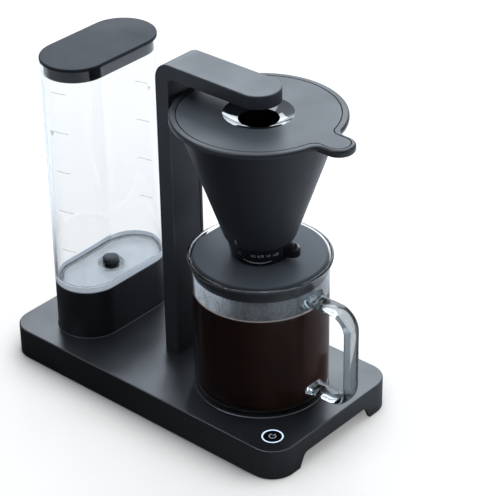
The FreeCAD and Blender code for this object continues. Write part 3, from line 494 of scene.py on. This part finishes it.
def make_materials():
    MATERIALS.update({
        "satin": moulded("satin_black", (0.030, 0.033, 0.039), 0.42, specular=0.5),
        "base": moulded("base_satin", (0.011, 0.012, 0.015), 0.36, specular=1.0),
        "coated": moulded("coated_metal", (0.030, 0.034, 0.041), 0.42, grain=0.25, depth=0.003,
                          specular=0.65),
        "tank_lid": moulded("tank_lid_satin", (0.018, 0.022, 0.028), 0.5, specular=0.17),
        # carafe lid: a much paler copy of the black satin, painted light that fills its shade and stands in
        # for its reflections
        "carafe_lid": moulded("carafe_lid_painted_light", (0.135, 0.148, 0.165), 0.5, specular=0.12),
        "cone": moulded("cone_satin", (0.014, 0.016, 0.020), 0.40, specular=0.5),
        "dock": moulded("dock_satin", (0.013, 0.014, 0.018), 0.33, specular=0.7),
        "inner": moulded("cover_satin", (0.026, 0.030, 0.037), 0.45, specular=0.5),
        "lid": lid_plastic(),
        "gloss": moulded("gloss_black", (0.006, 0.006, 0.008), 0.10, grain=6.0, depth=0.004,
                         smudge=0.02),
        "internal": moulded("internal_black", (0.03, 0.03, 0.032), 0.55),
        "grey_box": moulded("grey_moulding", (0.22, 0.23, 0.24), 0.5),
        "rubber": rubber("black_rubber", (0.02, 0.02, 0.022)),
        "valve": rubber("valve_rubber", (0.085, 0.105, 0.12), 0.5, 0.5),
        "silicone": rubber("pale_silicone", (0.68, 0.69, 0.67), 0.45, 0.5),
        "red_wire": rubber("wire_red", (0.42, 0.03, 0.02), 0.5, 0.5),
        "tank": clear("clear_plastic", (0.968, 0.976, 0.984), 1.49),
        # pale ring at the tank's foot, with a painted glow
        "tank_edge": painted_glow("tank_edge", (0.65, 0.73, 0.83), 0.4, 0.44, 0.60),
        "glass": clear("clear_glass", (0.985, 0.995, 0.995), 1.47),
        "glass_wall": clear("glass_wall", (0.985, 0.995, 0.995), 1.2),
        # handle: dark grey-blue tint, painted shade for the darker surroundings the bar refracts; the glass
        # itself is as clear as the carafe
        "handle": clear("handle_glass", (0.43, 0.465, 0.48), 1.47, waviness=0.03),
        "steel": metal("plated_steel", (0.62, 0.62, 0.62), 0.3),
        "plate_steel": metal("brushed_plate", (0.20, 0.20, 0.21), 0.34, brushed=True),
        "aluminium": metal("cast_aluminium", (0.6, 0.6, 0.61), 0.5, grain=1.2),
        "board": board_material(),
        "led": light_guide(),
        "coffee": coffee_top(),
        "coffee_side": coffee_side(),
        # painted highlight on the coffee's meniscus: a pale colour and a faint glow
        "painted_meniscus_glint": painted_glow("painted_meniscus_glint", (0.66, 0.57, 0.54), 0.3, 0.16, 0.30),
        "wetted": clear("wetted_glass", (0.985, 0.995, 0.995), 1.105),
        "steam": fogged(),
        "white_ink": printed("white_ink", (0.80, 0.82, 0.84)),
        "grey_ink": printed("grey_ink", (0.10, 0.105, 0.11)),
        "mark_ink": printed("button_ink", (0.75, 0.82, 0.90)),
        "etched": etched(),
        "drop": clear("water_drop", (0.97, 0.98, 1.0), 1.33),
    })


NODE_LOOKS = {
    "base": ["base_shell"],
    "internal": ["bottom_plate", "cord_gland", "terminal_block", "check_valve", "outlet_nozzle",
                 "drip_guide", "valve_guide", "dock_port", "button_switch", "holder_bracket"],
    "grey_box": ["power_relay", "supply_module"],
    "steel": ["base_screws", "strap_screws", "post_screws", "bracket_screws", "thermostat", "thermal_fuse",
              "heater_strap", "heater_element", "ring_clip"],
    "plate_steel": ["hot_plate"],
    "aluminium": ["heater_casting"],
    "rubber": ["rubber_feet"],
    "silicone": ["hot_plate_seal", "dock_seal", "inlet_hose", "outlet_hose", "riser_tube"],
    "valve": ["tank_valve", "drip_plunger"],
    "led": ["led_ring"],
    "gloss": ["power_button", "flow_ring"],
    "board": ["button_board", "control_board"],
    "red_wire": ["element_leads"],
    "dock": ["tank_dock"],
    "tank": ["tank"],
    "tank_lid": ["tank_lid"],
    "coated": ["post_shell"],
    "inner": ["post_cover"],
    "cone": ["filter_holder"],
    "lid": ["filter_lid"],
    "carafe_lid": ["carafe_lid"],
}


def dress_nodes():
    """Gives every carried-over CAD node its material."""
    for look, names in NODE_LOOKS.items():
        for name in names:
            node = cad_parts[name]
            if not node.material_slots:
                node.data.materials.append(MATERIALS[look])
            for slot in node.material_slots:
                slot.link = "OBJECT"
                slot.material = MATERIALS[look]


# ---------------------------------------------------------------- mesh helpers
def mesh_piece(name, verts, faces, look, body, smooth=True):
    """New piece from points in mm about the base centre."""
    mesh = bpy.data.meshes.new(name)
    mesh.from_pydata([spot(*point) for point in verts], [], faces)
    shaped = bmesh.new()
    shaped.from_mesh(mesh)
    bmesh.ops.recalc_face_normals(shaped, faces=shaped.faces)
    shaped.to_mesh(mesh)
    shaped.free()
    mesh.materials.append(MATERIALS[look])
    piece = bpy.data.objects.new(name, mesh)
    bpy.context.scene.collection.objects.link(piece)
    if smooth:
        mesh.shade_smooth()
        mesh.set_sharp_from_angle(angle=math.radians(40))
    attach(piece, body)
    return piece


def second_look(piece, look, chosen):
    """Gives a turned piece's faces a second material where chosen(radius, height), in mm, is true."""
    piece.data.materials.append(MATERIALS[look])
    number = len(piece.data.materials) - 1
    axis = spot(BREW_X, 0, 0)
    for face in piece.data.polygons:
        radius = math.hypot(face.center.x - axis.x, face.center.y - axis.y) / MM
        if chosen(radius, face.center.z / MM):
            face.material_index = number


def arc(centre_radius, centre_height, radius, first, last, steps=8):
    """Points of an arc in a lathe outline, angles in degrees from outwards towards up."""
    points = []
    for k in range(steps + 1):
        turn = math.radians(first + (last - first) * k / steps)
        points.append((centre_radius + radius * math.cos(turn), centre_height + radius * math.sin(turn)))
    return points


def turned(outline, steps, x):
    """Closed lathe of (radius, height) points about x; a point on the axis makes one vertex."""
    verts, rings = [], []
    for radius, height in outline:
        if radius < 1e-6:
            rings.append([len(verts)])
            verts.append((x, 0.0, height))
            continue
        ring = []
        for k in range(steps):
            angle = 2 * math.pi * k / steps
            ring.append(len(verts))
            verts.append((x + radius * math.cos(angle), radius * math.sin(angle), height))
        rings.append(ring)
    faces = []
    pairs = list(zip(rings, rings[1:]))
    if len(rings[0]) > 1 and len(rings[-1]) > 1:
        pairs.append((rings[-1], rings[0]))
    for low, high in pairs:
        for k in range(steps):
            after = (k + 1) % steps
            corners = [low[k % len(low)], low[after % len(low)],
                       high[after % len(high)], high[k % len(high)]]
            face = list(dict.fromkeys(corners))
            if len(face) > 2:
                faces.append(face)
    return verts, faces


def swept(sections, closed=False):
    """Skin over equal rings of points, capped at both ends unless closed on itself."""
    verts = [point for ring in sections for point in ring]
    size = len(sections[0])
    faces = []
    count = len(sections)
    for s in range(count if closed else count - 1):
        here, there = s * size, ((s + 1) % count) * size
        for k in range(size):
            after = (k + 1) % size
            faces.append([here + k, here + after, there + after, there + k])
    if not closed:
        faces.append(list(range(size))[::-1])
        faces.append(list(range((count - 1) * size, count * size)))
    return verts, faces


def gathered(shapes):
    """Several (points, faces) shapes as one."""
    verts, faces = [], []
    for more_verts, more_faces in shapes:
        faces += [[index + len(verts) for index in face] for face in more_faces]
        verts += more_verts
    return verts, faces


def taper_radius(z, low, high):
    """Radius of a cone at a height, from its (height, radius) at two levels."""
    return low[1] + (z - low[0]) * (high[1] - low[1]) / (high[0] - low[0])


def on_taper(angle, z, low, high, lift):
    """Point on the brew column's cone between two (height, radius) levels, lifted off its face."""
    radius = taper_radius(z, low, high) + lift
    turn = math.radians(angle)
    return (BREW_X + radius * math.cos(turn), radius * math.sin(turn), z)


def inlaid_strip(path, low, high, raised=0.05, buried=0.25):
    """Thin strip on a cone: path holds (angle, height, half thickness)."""
    sections = []
    for angle, z, half in path:
        corners = ((z - half, -buried), (z - half, raised), (z + half, raised), (z + half, -buried))
        sections.append([on_taper(angle, level, low, high, lift) for level, lift in corners])
    return swept(sections)


# ---------------------------------------------------------------- carafe pieces
def glass_body():
    """Carafe glass as one smooth lathe, with its own looks where coffee stands behind it."""
    foot_out = GLASS_RADIUS - GLASS_FOOT_ROUND
    foot_in = GLASS_BORE - GLASS_BORE_ROUND
    outline = [(0.0, GLASS_FOOT), (foot_out * 0.6, GLASS_FOOT)]
    outline += arc(foot_out, GLASS_FOOT + GLASS_FOOT_ROUND, GLASS_FOOT_ROUND, -90, 0, 14)
    outline += [(GLASS_RADIUS, 75.0), (GLASS_RADIUS, COFFEE_TOP), (GLASS_RADIUS, GLASS_FLARE)]
    outline += FLARE_OUTSIDE
    outline += arc(LIP_RADIUS, LIP_LEVEL, LIP_ROUND, -30, 200, 16)
    outline += FLARE_INSIDE + [(GLASS_BORE, GLASS_FLARE - 0.8), (GLASS_BORE, COFFEE_TOP + MENISCUS + 0.1)]
    outline += [(GLASS_BORE, COFFEE_TOP + MENISCUS), (GLASS_BORE, MID_WALL)]
    outline += arc(foot_in, GLASS_FLOOR + GLASS_BORE_ROUND, GLASS_BORE_ROUND, 0, -90, 12)
    outline += [(foot_in * 0.6, GLASS_FLOOR), (0.0, GLASS_FLOOR)]
    verts, faces = turned(outline, 192, BREW_X)
    piece = mesh_piece("glass_body", verts, faces, "glass", "carafe")

    def against_coffee(radius, height):
        return GLASS_FLOOR - 0.1 < height < COFFEE_TOP + MENISCUS and radius < GLASS_BORE + 0.02

    def outside_coffee(radius, height):
        return height < COFFEE_TOP and radius > GLASS_RADIUS - 0.1

    second_look(piece, "wetted", against_coffee)
    second_look(piece, "glass_wall", outside_coffee)
    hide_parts("carafe_glass")
    return piece


def steam_film():
    """Film of steam on the inside of the glass between the coffee and the lid's skirt."""
    outer, inner = GLASS_BORE - 0.06, GLASS_BORE - 0.11
    low, high = COFFEE_TOP + 1.6, GLASS_FLARE - 1.0
    levels = [low + (high - low) * k / 6 for k in range(7)]
    outline = [(outer, level) for level in levels] + [(inner, level) for level in levels[::-1]]
    verts, faces = turned(outline, 160, BREW_X)
    return mesh_piece("steam_film", verts, faces, "steam", "carafe")


def coffee():
    """Coffee body with its surface drawn up a little where it meets the glass."""
    wall = GLASS_BORE - COFFEE_GAP
    floor = GLASS_FLOOR + COFFEE_GAP
    round_low = GLASS_BORE_ROUND
    outline = [(0.0, floor)] + arc(wall - round_low, floor + round_low, round_low, -90, 0, 12)
    outline += [(wall, MID_WALL), (wall, COFFEE_TOP), (wall, COFFEE_TOP + MENISCUS)]
    for k in range(1, 7):
        inward = 0.45 * k
        outline.append((wall - inward, COFFEE_TOP + MENISCUS * math.exp(-inward / MENISCUS_REACH)))
    outline += [(wall - 6.0, COFFEE_TOP), (30.0, COFFEE_TOP), (0.0, COFFEE_TOP)]
    verts, faces = turned(outline, 192, BREW_X)
    piece = mesh_piece("coffee", verts, faces, "coffee", "carafe")
    second_look(piece, "coffee_side", lambda radius, height: height < COFFEE_TOP - 0.01)
    # the meniscus rim takes the painted highlight
    second_look(piece, "painted_meniscus_glint", lambda radius, height: height > COFFEE_TOP + 0.3)
    return piece


def handle_line():
    """Middle line of the strap handle in the y = 0 plane, as (x, height, turn in degrees)."""
    top, low = HANDLE_LEVELS
    start = BREW_X + GLASS_RADIUS + 0.1
    bend_x = HANDLE_MID_X - HANDLE_BEND
    line = []
    for k in range(13):
        line.append((start + (bend_x - start) * k / 12, top, 0.0))
    for k in range(1, 17):
        turn = 90.0 * k / 16
        line.append((bend_x + HANDLE_BEND * math.sin(math.radians(turn)),
                     top - HANDLE_BEND + HANDLE_BEND * math.cos(math.radians(turn)), -turn))
    for k in range(1, 16):
        line.append((HANDLE_MID_X, top - HANDLE_BEND + (low - top + 2 * HANDLE_BEND) * k / 16, -90.0))
    for k in range(17):
        turn = 90.0 + 90.0 * k / 16
        line.append((bend_x + HANDLE_BEND * math.sin(math.radians(turn)),
                     low + HANDLE_BEND + HANDLE_BEND * math.cos(math.radians(turn)), -turn))
    for k in range(1, 13):
        line.append((bend_x + (start - bend_x) * k / 12, low, -180.0))
    return line


def strap_outline(half_width, half_thick, fullness, steps=40):
    """Drawn glass bar's section as (across, out) points: an oval, squarer as fullness grows."""
    points = []
    for k in range(steps):
        turn = 2 * math.pi * k / steps
        across = math.copysign(abs(math.cos(turn)) ** (2 / fullness), math.cos(turn))
        out = math.copysign(abs(math.sin(turn)) ** (2 / fullness), math.sin(turn))
        points.append((half_width * across, half_thick * out))
    return points


def glass_handle():
    """Strap handle, melted out into a wider foot where it joins the carafe wall."""
    line = handle_line()
    sections = []
    for x, z, turn in line:
        from_wall = x - BREW_X - GLASS_RADIUS
        flare = max(0.0, 1.0 - from_wall / HANDLE_FOOT) ** 2
        wider, thicker = FOOT_GROWTH_TOP if z > sum(HANDLE_LEVELS) / 2 else FOOT_GROWTH_LOW
        ring = strap_outline(HANDLE_HALF_WIDTH + wider * flare, HANDLE_HALF_THICK + thicker * flare,
                             HANDLE_FULLNESS)
        out = Vector((math.sin(-math.radians(turn)), math.cos(math.radians(turn))))
        section = []
        for across, outward in ring:
            px, pz = x + out.x * outward, z + out.y * outward
            if from_wall < HANDLE_SEAT:
                bulge = math.sqrt(GLASS_RADIUS ** 2 - across ** 2) - GLASS_RADIUS
                px += bulge * (1.0 - from_wall / HANDLE_SEAT)
            section.append((px, across, pz))
        sections.append(section)
    verts, faces = swept(sections)
    piece = mesh_piece("glass_handle", verts, faces, "handle", "carafe")
    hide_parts("carafe_handle")
    return piece


def droplets():
    """Condensation on the inside of the glass, above the coffee."""
    dice = random.Random(11)
    verts, faces = [], []
    for _ in range(DROP_COUNT):
        angle = math.radians(dice.uniform(-150, 60))
        z = dice.uniform(COFFEE_TOP + 3.5, COFFEE_TOP + 17.0)
        size = dice.uniform(0.25, 0.8)
        out = Vector((math.cos(angle), math.sin(angle), 0.0))
        side = Vector((-out.y, out.x, 0.0))
        seat = Vector((BREW_X, 0.0, z)) + out * (GLASS_BORE - 0.03)
        start = len(verts)
        verts.append(tuple(seat - out * size * 0.45))
        for reach, depth in DROP_RINGS:
            for k in range(DROP_SIDES):
                turn = 2 * math.pi * k / DROP_SIDES
                sag = 1.15 if math.sin(turn) < 0 else 1.0
                point = seat + side * (size * reach * math.cos(turn))
                point = point + Vector((0, 0, size * reach * sag * math.sin(turn))) - out * (size * depth)
                verts.append(tuple(point))
        rims = [start + 1 + DROP_SIDES * ring for ring in range(len(DROP_RINGS))]
        for k in range(DROP_SIDES):
            after = (k + 1) % DROP_SIDES
            faces.append([start, rims[0] + k, rims[0] + after])
            for near, far in zip(rims, rims[1:]):
                faces.append([near + k, far + k, far + after, near + after])
        faces.append([rims[-1] + k for k in range(DROP_SIDES)])
    return mesh_piece("condensation", verts, faces, "drop", "carafe")


# ---------------------------------------------------------------- printing on the cone and flow ring
def dial_number(text, angle):
    """Number printed round the flow ring, as a thin raised inlay."""
    curve = bpy.data.curves.new("number_" + text, "FONT")
    curve.body = text
    curve.size = DIAL_HEIGHT * 1.35
    curve.align_x = "CENTER"
    curve.align_y = "CENTER"
    curve.extrude = 0.1
    curve.resolution_u = 3
    flat = bpy.data.objects.new("flat_text", curve)
    bpy.context.scene.collection.objects.link(flat)
    shape = bpy.data.meshes.new_from_object(flat.evaluated_get(bpy.context.evaluated_depsgraph_get()))
    bpy.data.objects.remove(flat)
    verts = []
    for vertex in shape.vertices:
        level = DIAL_LEVEL + vertex.co.y
        radius = taper_radius(level, RING_LOW, RING_HIGH)
        turn = angle + math.degrees(DIAL_NARROWING * vertex.co.x / radius)
        verts.append(on_taper(turn, level, RING_LOW, RING_HIGH, vertex.co.z - 0.04))
    faces = [list(face.vertices) for face in shape.polygons]
    name = "dial_number_" + text.replace(".", "_")
    return mesh_piece(name, verts, faces, "white_ink", "flow_ring_body", smooth=False)


def dial_marks():
    """Numbers, strength curve and closed mark on the flow ring, and the index line on the cone."""
    for text, angle in DIAL_NUMBERS:
        dial_number(text, angle)
    curve = []      # thickest and lowest near its middle
    for k in range(33):
        share = k / 32
        angle = CURVE_START + CURVE_SWEEP * share
        z = CURVE_LEVEL + CURVE_SAG * (abs(share - 0.55) / 0.55) ** 2
        curve.append((angle, z, 0.16 + 0.56 * math.sin(math.pi * share ** 0.85)))
    verts, faces = inlaid_strip(curve, RING_LOW, RING_HIGH)
    mesh_piece("strength_curve", verts, faces, "white_ink", "flow_ring_body", smooth=False)
    bars = [[(CLOSED_MARK_START + k, level, 0.38) for k in range(9)] for level in CLOSED_MARK_LEVELS]
    verts, faces = gathered([inlaid_strip(bar, RING_LOW, RING_HIGH) for bar in bars])
    mesh_piece("closed_mark", verts, faces, "grey_ink", "flow_ring_body", smooth=False)
    tick = [(INDEX_START + 0.32 * k, INDEX_LEVEL, 2.3) for k in range(6)]
    verts, faces = inlaid_strip(tick, CONE_LOW, CONE_HIGH)
    mesh_piece("index_line", verts, faces, "white_ink", "filter_unit", smooth=False)


# ---------------------------------------------------------------- tank pieces
def tank_end_point(angle, z, end, lift):
    """Point on the tank's rounded end; end is -1 for the front one and 1 for the rear one."""
    turn = math.radians(angle)
    radius = TANK_RADIUS + lift
    x, y = radius * math.cos(turn), radius * math.sin(turn) - TANK_RUN
    return (TANK_X - end * x, -end * y, z)


def tank_strip(z, end):
    """Volume line at one level of the tank's rounded end."""
    first, last = MARK_ANGLES
    inner, outer = MARK_LIFTS
    low, high = z - MARK_HALF, z + MARK_HALF
    sections = []
    for k in range(13):
        angle = first + (last - first) * k / 12
        corners = ((low, inner), (low, outer), (high, outer), (high, inner))
        sections.append([tank_end_point(angle, level, end, lift) for level, lift in corners])
    return swept(sections)


def tank_pointer(end):
    """Full-level pointer, a wedge that stands on its tip."""
    inner, outer = MARK_LIFTS
    sections = []
    for level, half in POINTER_LEVELS:
        corners = ((-half, inner), (-half, outer), (half, outer), (half, inner))
        sections.append([tank_end_point(POINTER_ANGLE + turn, level, end, lift) for turn, lift in corners])
    return swept(sections)


def tank_marks():
    """Volume lines and the full-level pointer on both rounded ends of the tank."""
    shapes = []
    for end in (-1, 1):
        shapes += [tank_strip(z, end) for z in TANK_MARKS]
        shapes.append(tank_pointer(end))
    verts, faces = gathered(shapes)
    return mesh_piece("tank_marks", verts, faces, "etched", "water_tank", smooth=False)


def valve_band():
    """Pale sealing band round the middle of the tank valve."""
    verts, faces = turned(BAND_PROFILE, 48, TANK_X)
    return mesh_piece("valve_band", verts, faces, "silicone", "tank_valve_body")


def stadium_points(inset, z, steps=24):
    """Points round the tank's plan outline, moved in by inset."""
    radius = TANK_RADIUS - inset
    points = []
    for end, start in ((-1, 180.0), (1, 0.0)):
        for k in range(steps + 1):
            turn = math.radians(start + 180.0 * k / steps)
            points.append((TANK_X + radius * math.cos(turn), end * TANK_RUN + radius * math.sin(turn), z))
    return points


def stadium_ring(profile, level=0.0):
    """Ring round the tank's plan outline; profile holds (inset, height above level)."""
    loops = [stadium_points(inset, level + height) for inset, height in profile]
    sections = [[loop[k] for loop in loops] for k in range(len(loops[0]))]
    return swept(sections, closed=True)


def tank_edge():
    """Pale ring round the foot of the tank, inside the clear wall, with a painted glow that lightens the band
    there.
    """
    verts, faces = stadium_ring(TANK_EDGE_PROFILE)
    return mesh_piece("tank_edge", verts, faces, "tank_edge", "water_tank")


def lid_painted_shade():
    """Dark patches let into the lid's skirt, three on each rounded end: painted shade standing in for the
    dark windows of the skirt.
    """
    shapes = []
    for end, (first, last) in itertools.product((-1, 1), SHADE_PATCH_ANGLES):
        sections = []
        for k in range(7):
            turn = math.radians(first + (last - first) * k / 6)
            sections.append([(TANK_X + radius * math.cos(turn), end * (TANK_RUN + radius * math.sin(turn)), z)
                             for radius, z in SHADE_PATCH_PROFILE])
        shapes.append(swept(sections))
    verts, faces = gathered(shapes)
    return mesh_piece("lid_painted_shade", verts, faces, "rubber", "tank_lid_body", smooth=False)


def dock_bead():
    """Small rounded bead where the dock meets the base."""
    verts, faces = stadium_ring(BEAD_PROFILE, BASE_TOP)
    return mesh_piece("dock_bead", verts, faces, "satin", "root")


# ---------------------------------------------------------------- springs
def pressed_springs():
    """The frame's springs as steel pieces carried by their bodies, in place of the frame's own spring nodes.
    """
    for node, (joint, fixed_end, travel, body) in SPRINGS.items():
        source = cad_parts[node]
        mesh = source.data.copy()
        mesh.transform(source.matrix_world)
        mesh.materials.clear()
        mesh.materials.append(MATERIALS["steel"])
        coil = bpy.data.objects.new(node + "_coil", mesh)
        bpy.context.scene.collection.objects.link(coil)
        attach(coil, body)
        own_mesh(coil)
        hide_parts(node)


# ---------------------------------------------------------------- button mark
def button_mark():
    """Generic power sign, an open ring with a bar, on the button's cap."""
    low, high = BASE_TOP + SIGN_DEPTH, BASE_TOP + SIGN_LIFT
    inner, outer = SIGN_RING
    ring = []
    for k in range(25):
        turn = math.radians(SIGN_START + SIGN_SWEEP * k / 24)
        ring.append([(BUTTON_X + radius * math.cos(turn), BUTTON_Y + radius * math.sin(turn), z)
                     for radius, z in ((inner, low), (outer, low), (outer, high), (inner, high))])
    half = SIGN_BAR_HALF
    bar = [[(BUTTON_X + across, BUTTON_Y + out, z)
            for across, z in ((-half, low), (half, low), (half, high), (-half, high))]
           for out in SIGN_BAR]
    verts, faces = gathered([swept(ring), swept(bar)])
    return mesh_piece("button_mark", verts, faces, "mark_ink", "button", smooth=False)


# ---------------------------------------------------------------- studio
def floor_material():
    """White paper, glowing a little where it is seen directly, with a painted contact shadow in that glow,
    lighter towards the right.

    Reflections and bounces see painted light on it instead: dim near the front and bright behind, like a
    flagged studio floor.
    """
    material, tree, surface = new_material("white_paper")
    place = place_socket(tree)
    fibre = noise(tree, place, 60.0)
    white = blend(tree, fibre, rgb(0.50, 0.47, 0.44), rgb(0.53, 0.50, 0.465))
    parts = add_node(tree, "ShaderNodeSeparateXYZ", {0: place})
    # painted light for reflections and bounces, set by position on the floor
    bright = spread(tree, along(tree, place, (0.9, 0.8, 0.0)), 0.03, 0.6, -0.15, 0.45)
    away = vector_math(tree, "LENGTH", place).outputs["Value"]
    far = spread(tree, away, 0.0, 0.55, 0.25, 0.65)
    backdrop = spread(tree, along(tree, place, (-0.66, 0.75, 0.0)), 0.0, 1.0, 0.14, 0.3)
    dim = math_node(tree, "ADD", math_node(tree, "ADD", bright, far), backdrop, clamp=True)
    painted_bounce_light = add_node(tree, "ShaderNodeCombineColor", {0: dim, 1: dim, 2: dim}).outputs[0]
    path = add_node(tree, "ShaderNodeLightPath")
    bounces = math_node(tree, "ADD", path.outputs["Diffuse Depth"], path.outputs["Glossy Depth"])
    direct = math_node(tree, "LESS_THAN", bounces, 0.5)
    # painted contact shadow: ambient occlusion darkens the floor's glow near the brewer, less on the right
    corner = add_node(tree, "ShaderNodeAmbientOcclusion", {"Distance": 0.055}, samples=12).outputs["AO"]
    darkest = spread(tree, parts.outputs[0], 0.0, 0.75, 0.12, 0.16)
    painted_contact_shadow = spread(tree, corner, darkest, 1.0, 0.46, 0.92)
    glow = math_node(tree, "MULTIPLY", painted_contact_shadow, FLOOR_GLOW)
    set_inputs(tree, surface, {
        "Base Color": blend(tree, direct, painted_bounce_light, white),
        "Roughness": 0.9,
        "Specular IOR Level": 0.0,
        "Emission Color": rgb(1.0, 1.0, 1.0),
        "Emission Strength": math_node(tree, "MULTIPLY", direct, glow),
    })
    return material


def floor():
    """Flat sheet of paper under the brewer."""
    reach = FLOOR_REACH
    corners = [(-reach, -reach, 0), (reach, -reach, 0), (reach, reach, 0), (-reach, reach, 0)]
    mesh = bpy.data.meshes.new("floor")
    mesh.from_pydata(corners, [], [(0, 1, 2, 3)])
    mesh.materials.append(floor_material())
    plane = bpy.data.objects.new("floor", mesh)
    bpy.context.scene.collection.objects.link(plane)


def studio_world():
    """Soft white surroundings, bright above and behind, dark towards the front, with a lit backdrop."""
    world = bpy.data.worlds.new("studio")
    bpy.context.scene.world = world
    world.use_nodes = True
    tree = world.node_tree
    background = tree.nodes["Background"]
    direction = add_node(tree, "ShaderNodeTexCoord").outputs["Generated"]
    overhead = Vector((-0.15, 0.55, 0.8)).normalized()
    glow = spread(tree, along(tree, direction, overhead), 0.04, 0.66, -0.2, 0.95)
    horizon = Vector((-0.66, 0.75, 0.02)).normalized()
    backdrop = spread(tree, along(tree, direction, horizon), 0.0, 1.5, 0.9, 0.985)
    strength = math_node(tree, "ADD", glow, backdrop)
    set_inputs(tree, background, {"Color": rgb(*LIGHT_TINT), "Strength": strength})


def softbox(name, place, target, width, height, power):
    """Area light at place, aimed at target, both in metres."""
    lamp = bpy.data.lights.new(name, "AREA")
    lamp.shape = "RECTANGLE"
    lamp.size = width
    lamp.size_y = height
    lamp.energy = power
    lamp.color = LIGHT_TINT
    holder = bpy.data.objects.new(name, lamp)
    holder.location = place
    aim = Vector(target) - Vector(place)
    holder.rotation_euler = aim.to_track_quat("-Z", "Y").to_euler()
    bpy.context.scene.collection.objects.link(holder)
    return holder


def lights():
    """Overhead and rear panels, a strip on the right and a thin front glint for the glossy parts."""
    for fields in LIGHTS:
        softbox(*fields)
    glint = softbox(*GLINT)
    glint.visible_diffuse = False


def camera():
    """Viewpoint that matches the product view."""
    azimuth = math.radians(VIEW_AZIMUTH)
    elevation = math.radians(VIEW_ELEVATION)
    back = Vector((math.sin(azimuth) * math.cos(elevation), -math.cos(azimuth) * math.cos(elevation),
                   math.sin(elevation)))
    right = (-back).cross(Vector((0, 0, 1))).normalized()
    up = right.cross(-back)
    roll = math.radians(VIEW_ROLL)
    level_right = right * math.cos(roll) + up * math.sin(roll)
    level_up = up * math.cos(roll) - right * math.sin(roll)
    turn = Matrix((level_right, level_up, back)).transposed().to_4x4()
    lens = bpy.data.cameras.new("camera")
    lens.sensor_fit = "AUTO"
    lens.sensor_width = 36.0
    lens.lens = LENS
    lens.clip_end = 50.0
    eye = bpy.data.objects.new("camera", lens)
    eye.matrix_world = Matrix.Translation(spot(*VIEW_TARGET) + back * (VIEW_DISTANCE * MM)) @ turn
    bpy.context.scene.collection.objects.link(eye)
    bpy.context.scene.camera = eye


def picture_settings():
    """Plain colour transform, and enough bounces for glass behind glass."""
    scene = bpy.context.scene
    scene.view_settings.view_transform = "Standard"
    scene.cycles.max_bounces = 16
    scene.cycles.transmission_bounces = 14
    scene.cycles.transparent_max_bounces = 16
    scene.cycles.caustics_reflective = False
    scene.cycles.caustics_refractive = False
    scene.cycles.use_denoising = True


# ---------------------------------------------------------------- build
camera()
studio_world()
floor()
lights()
picture_settings()
make_materials()
dress_nodes()
coffee()
glass_body()
steam_film()
glass_handle()
droplets()
dial_marks()
tank_marks()
valve_band()
tank_edge()
lid_painted_shade()
dock_bead()
pressed_springs()
button_mark()
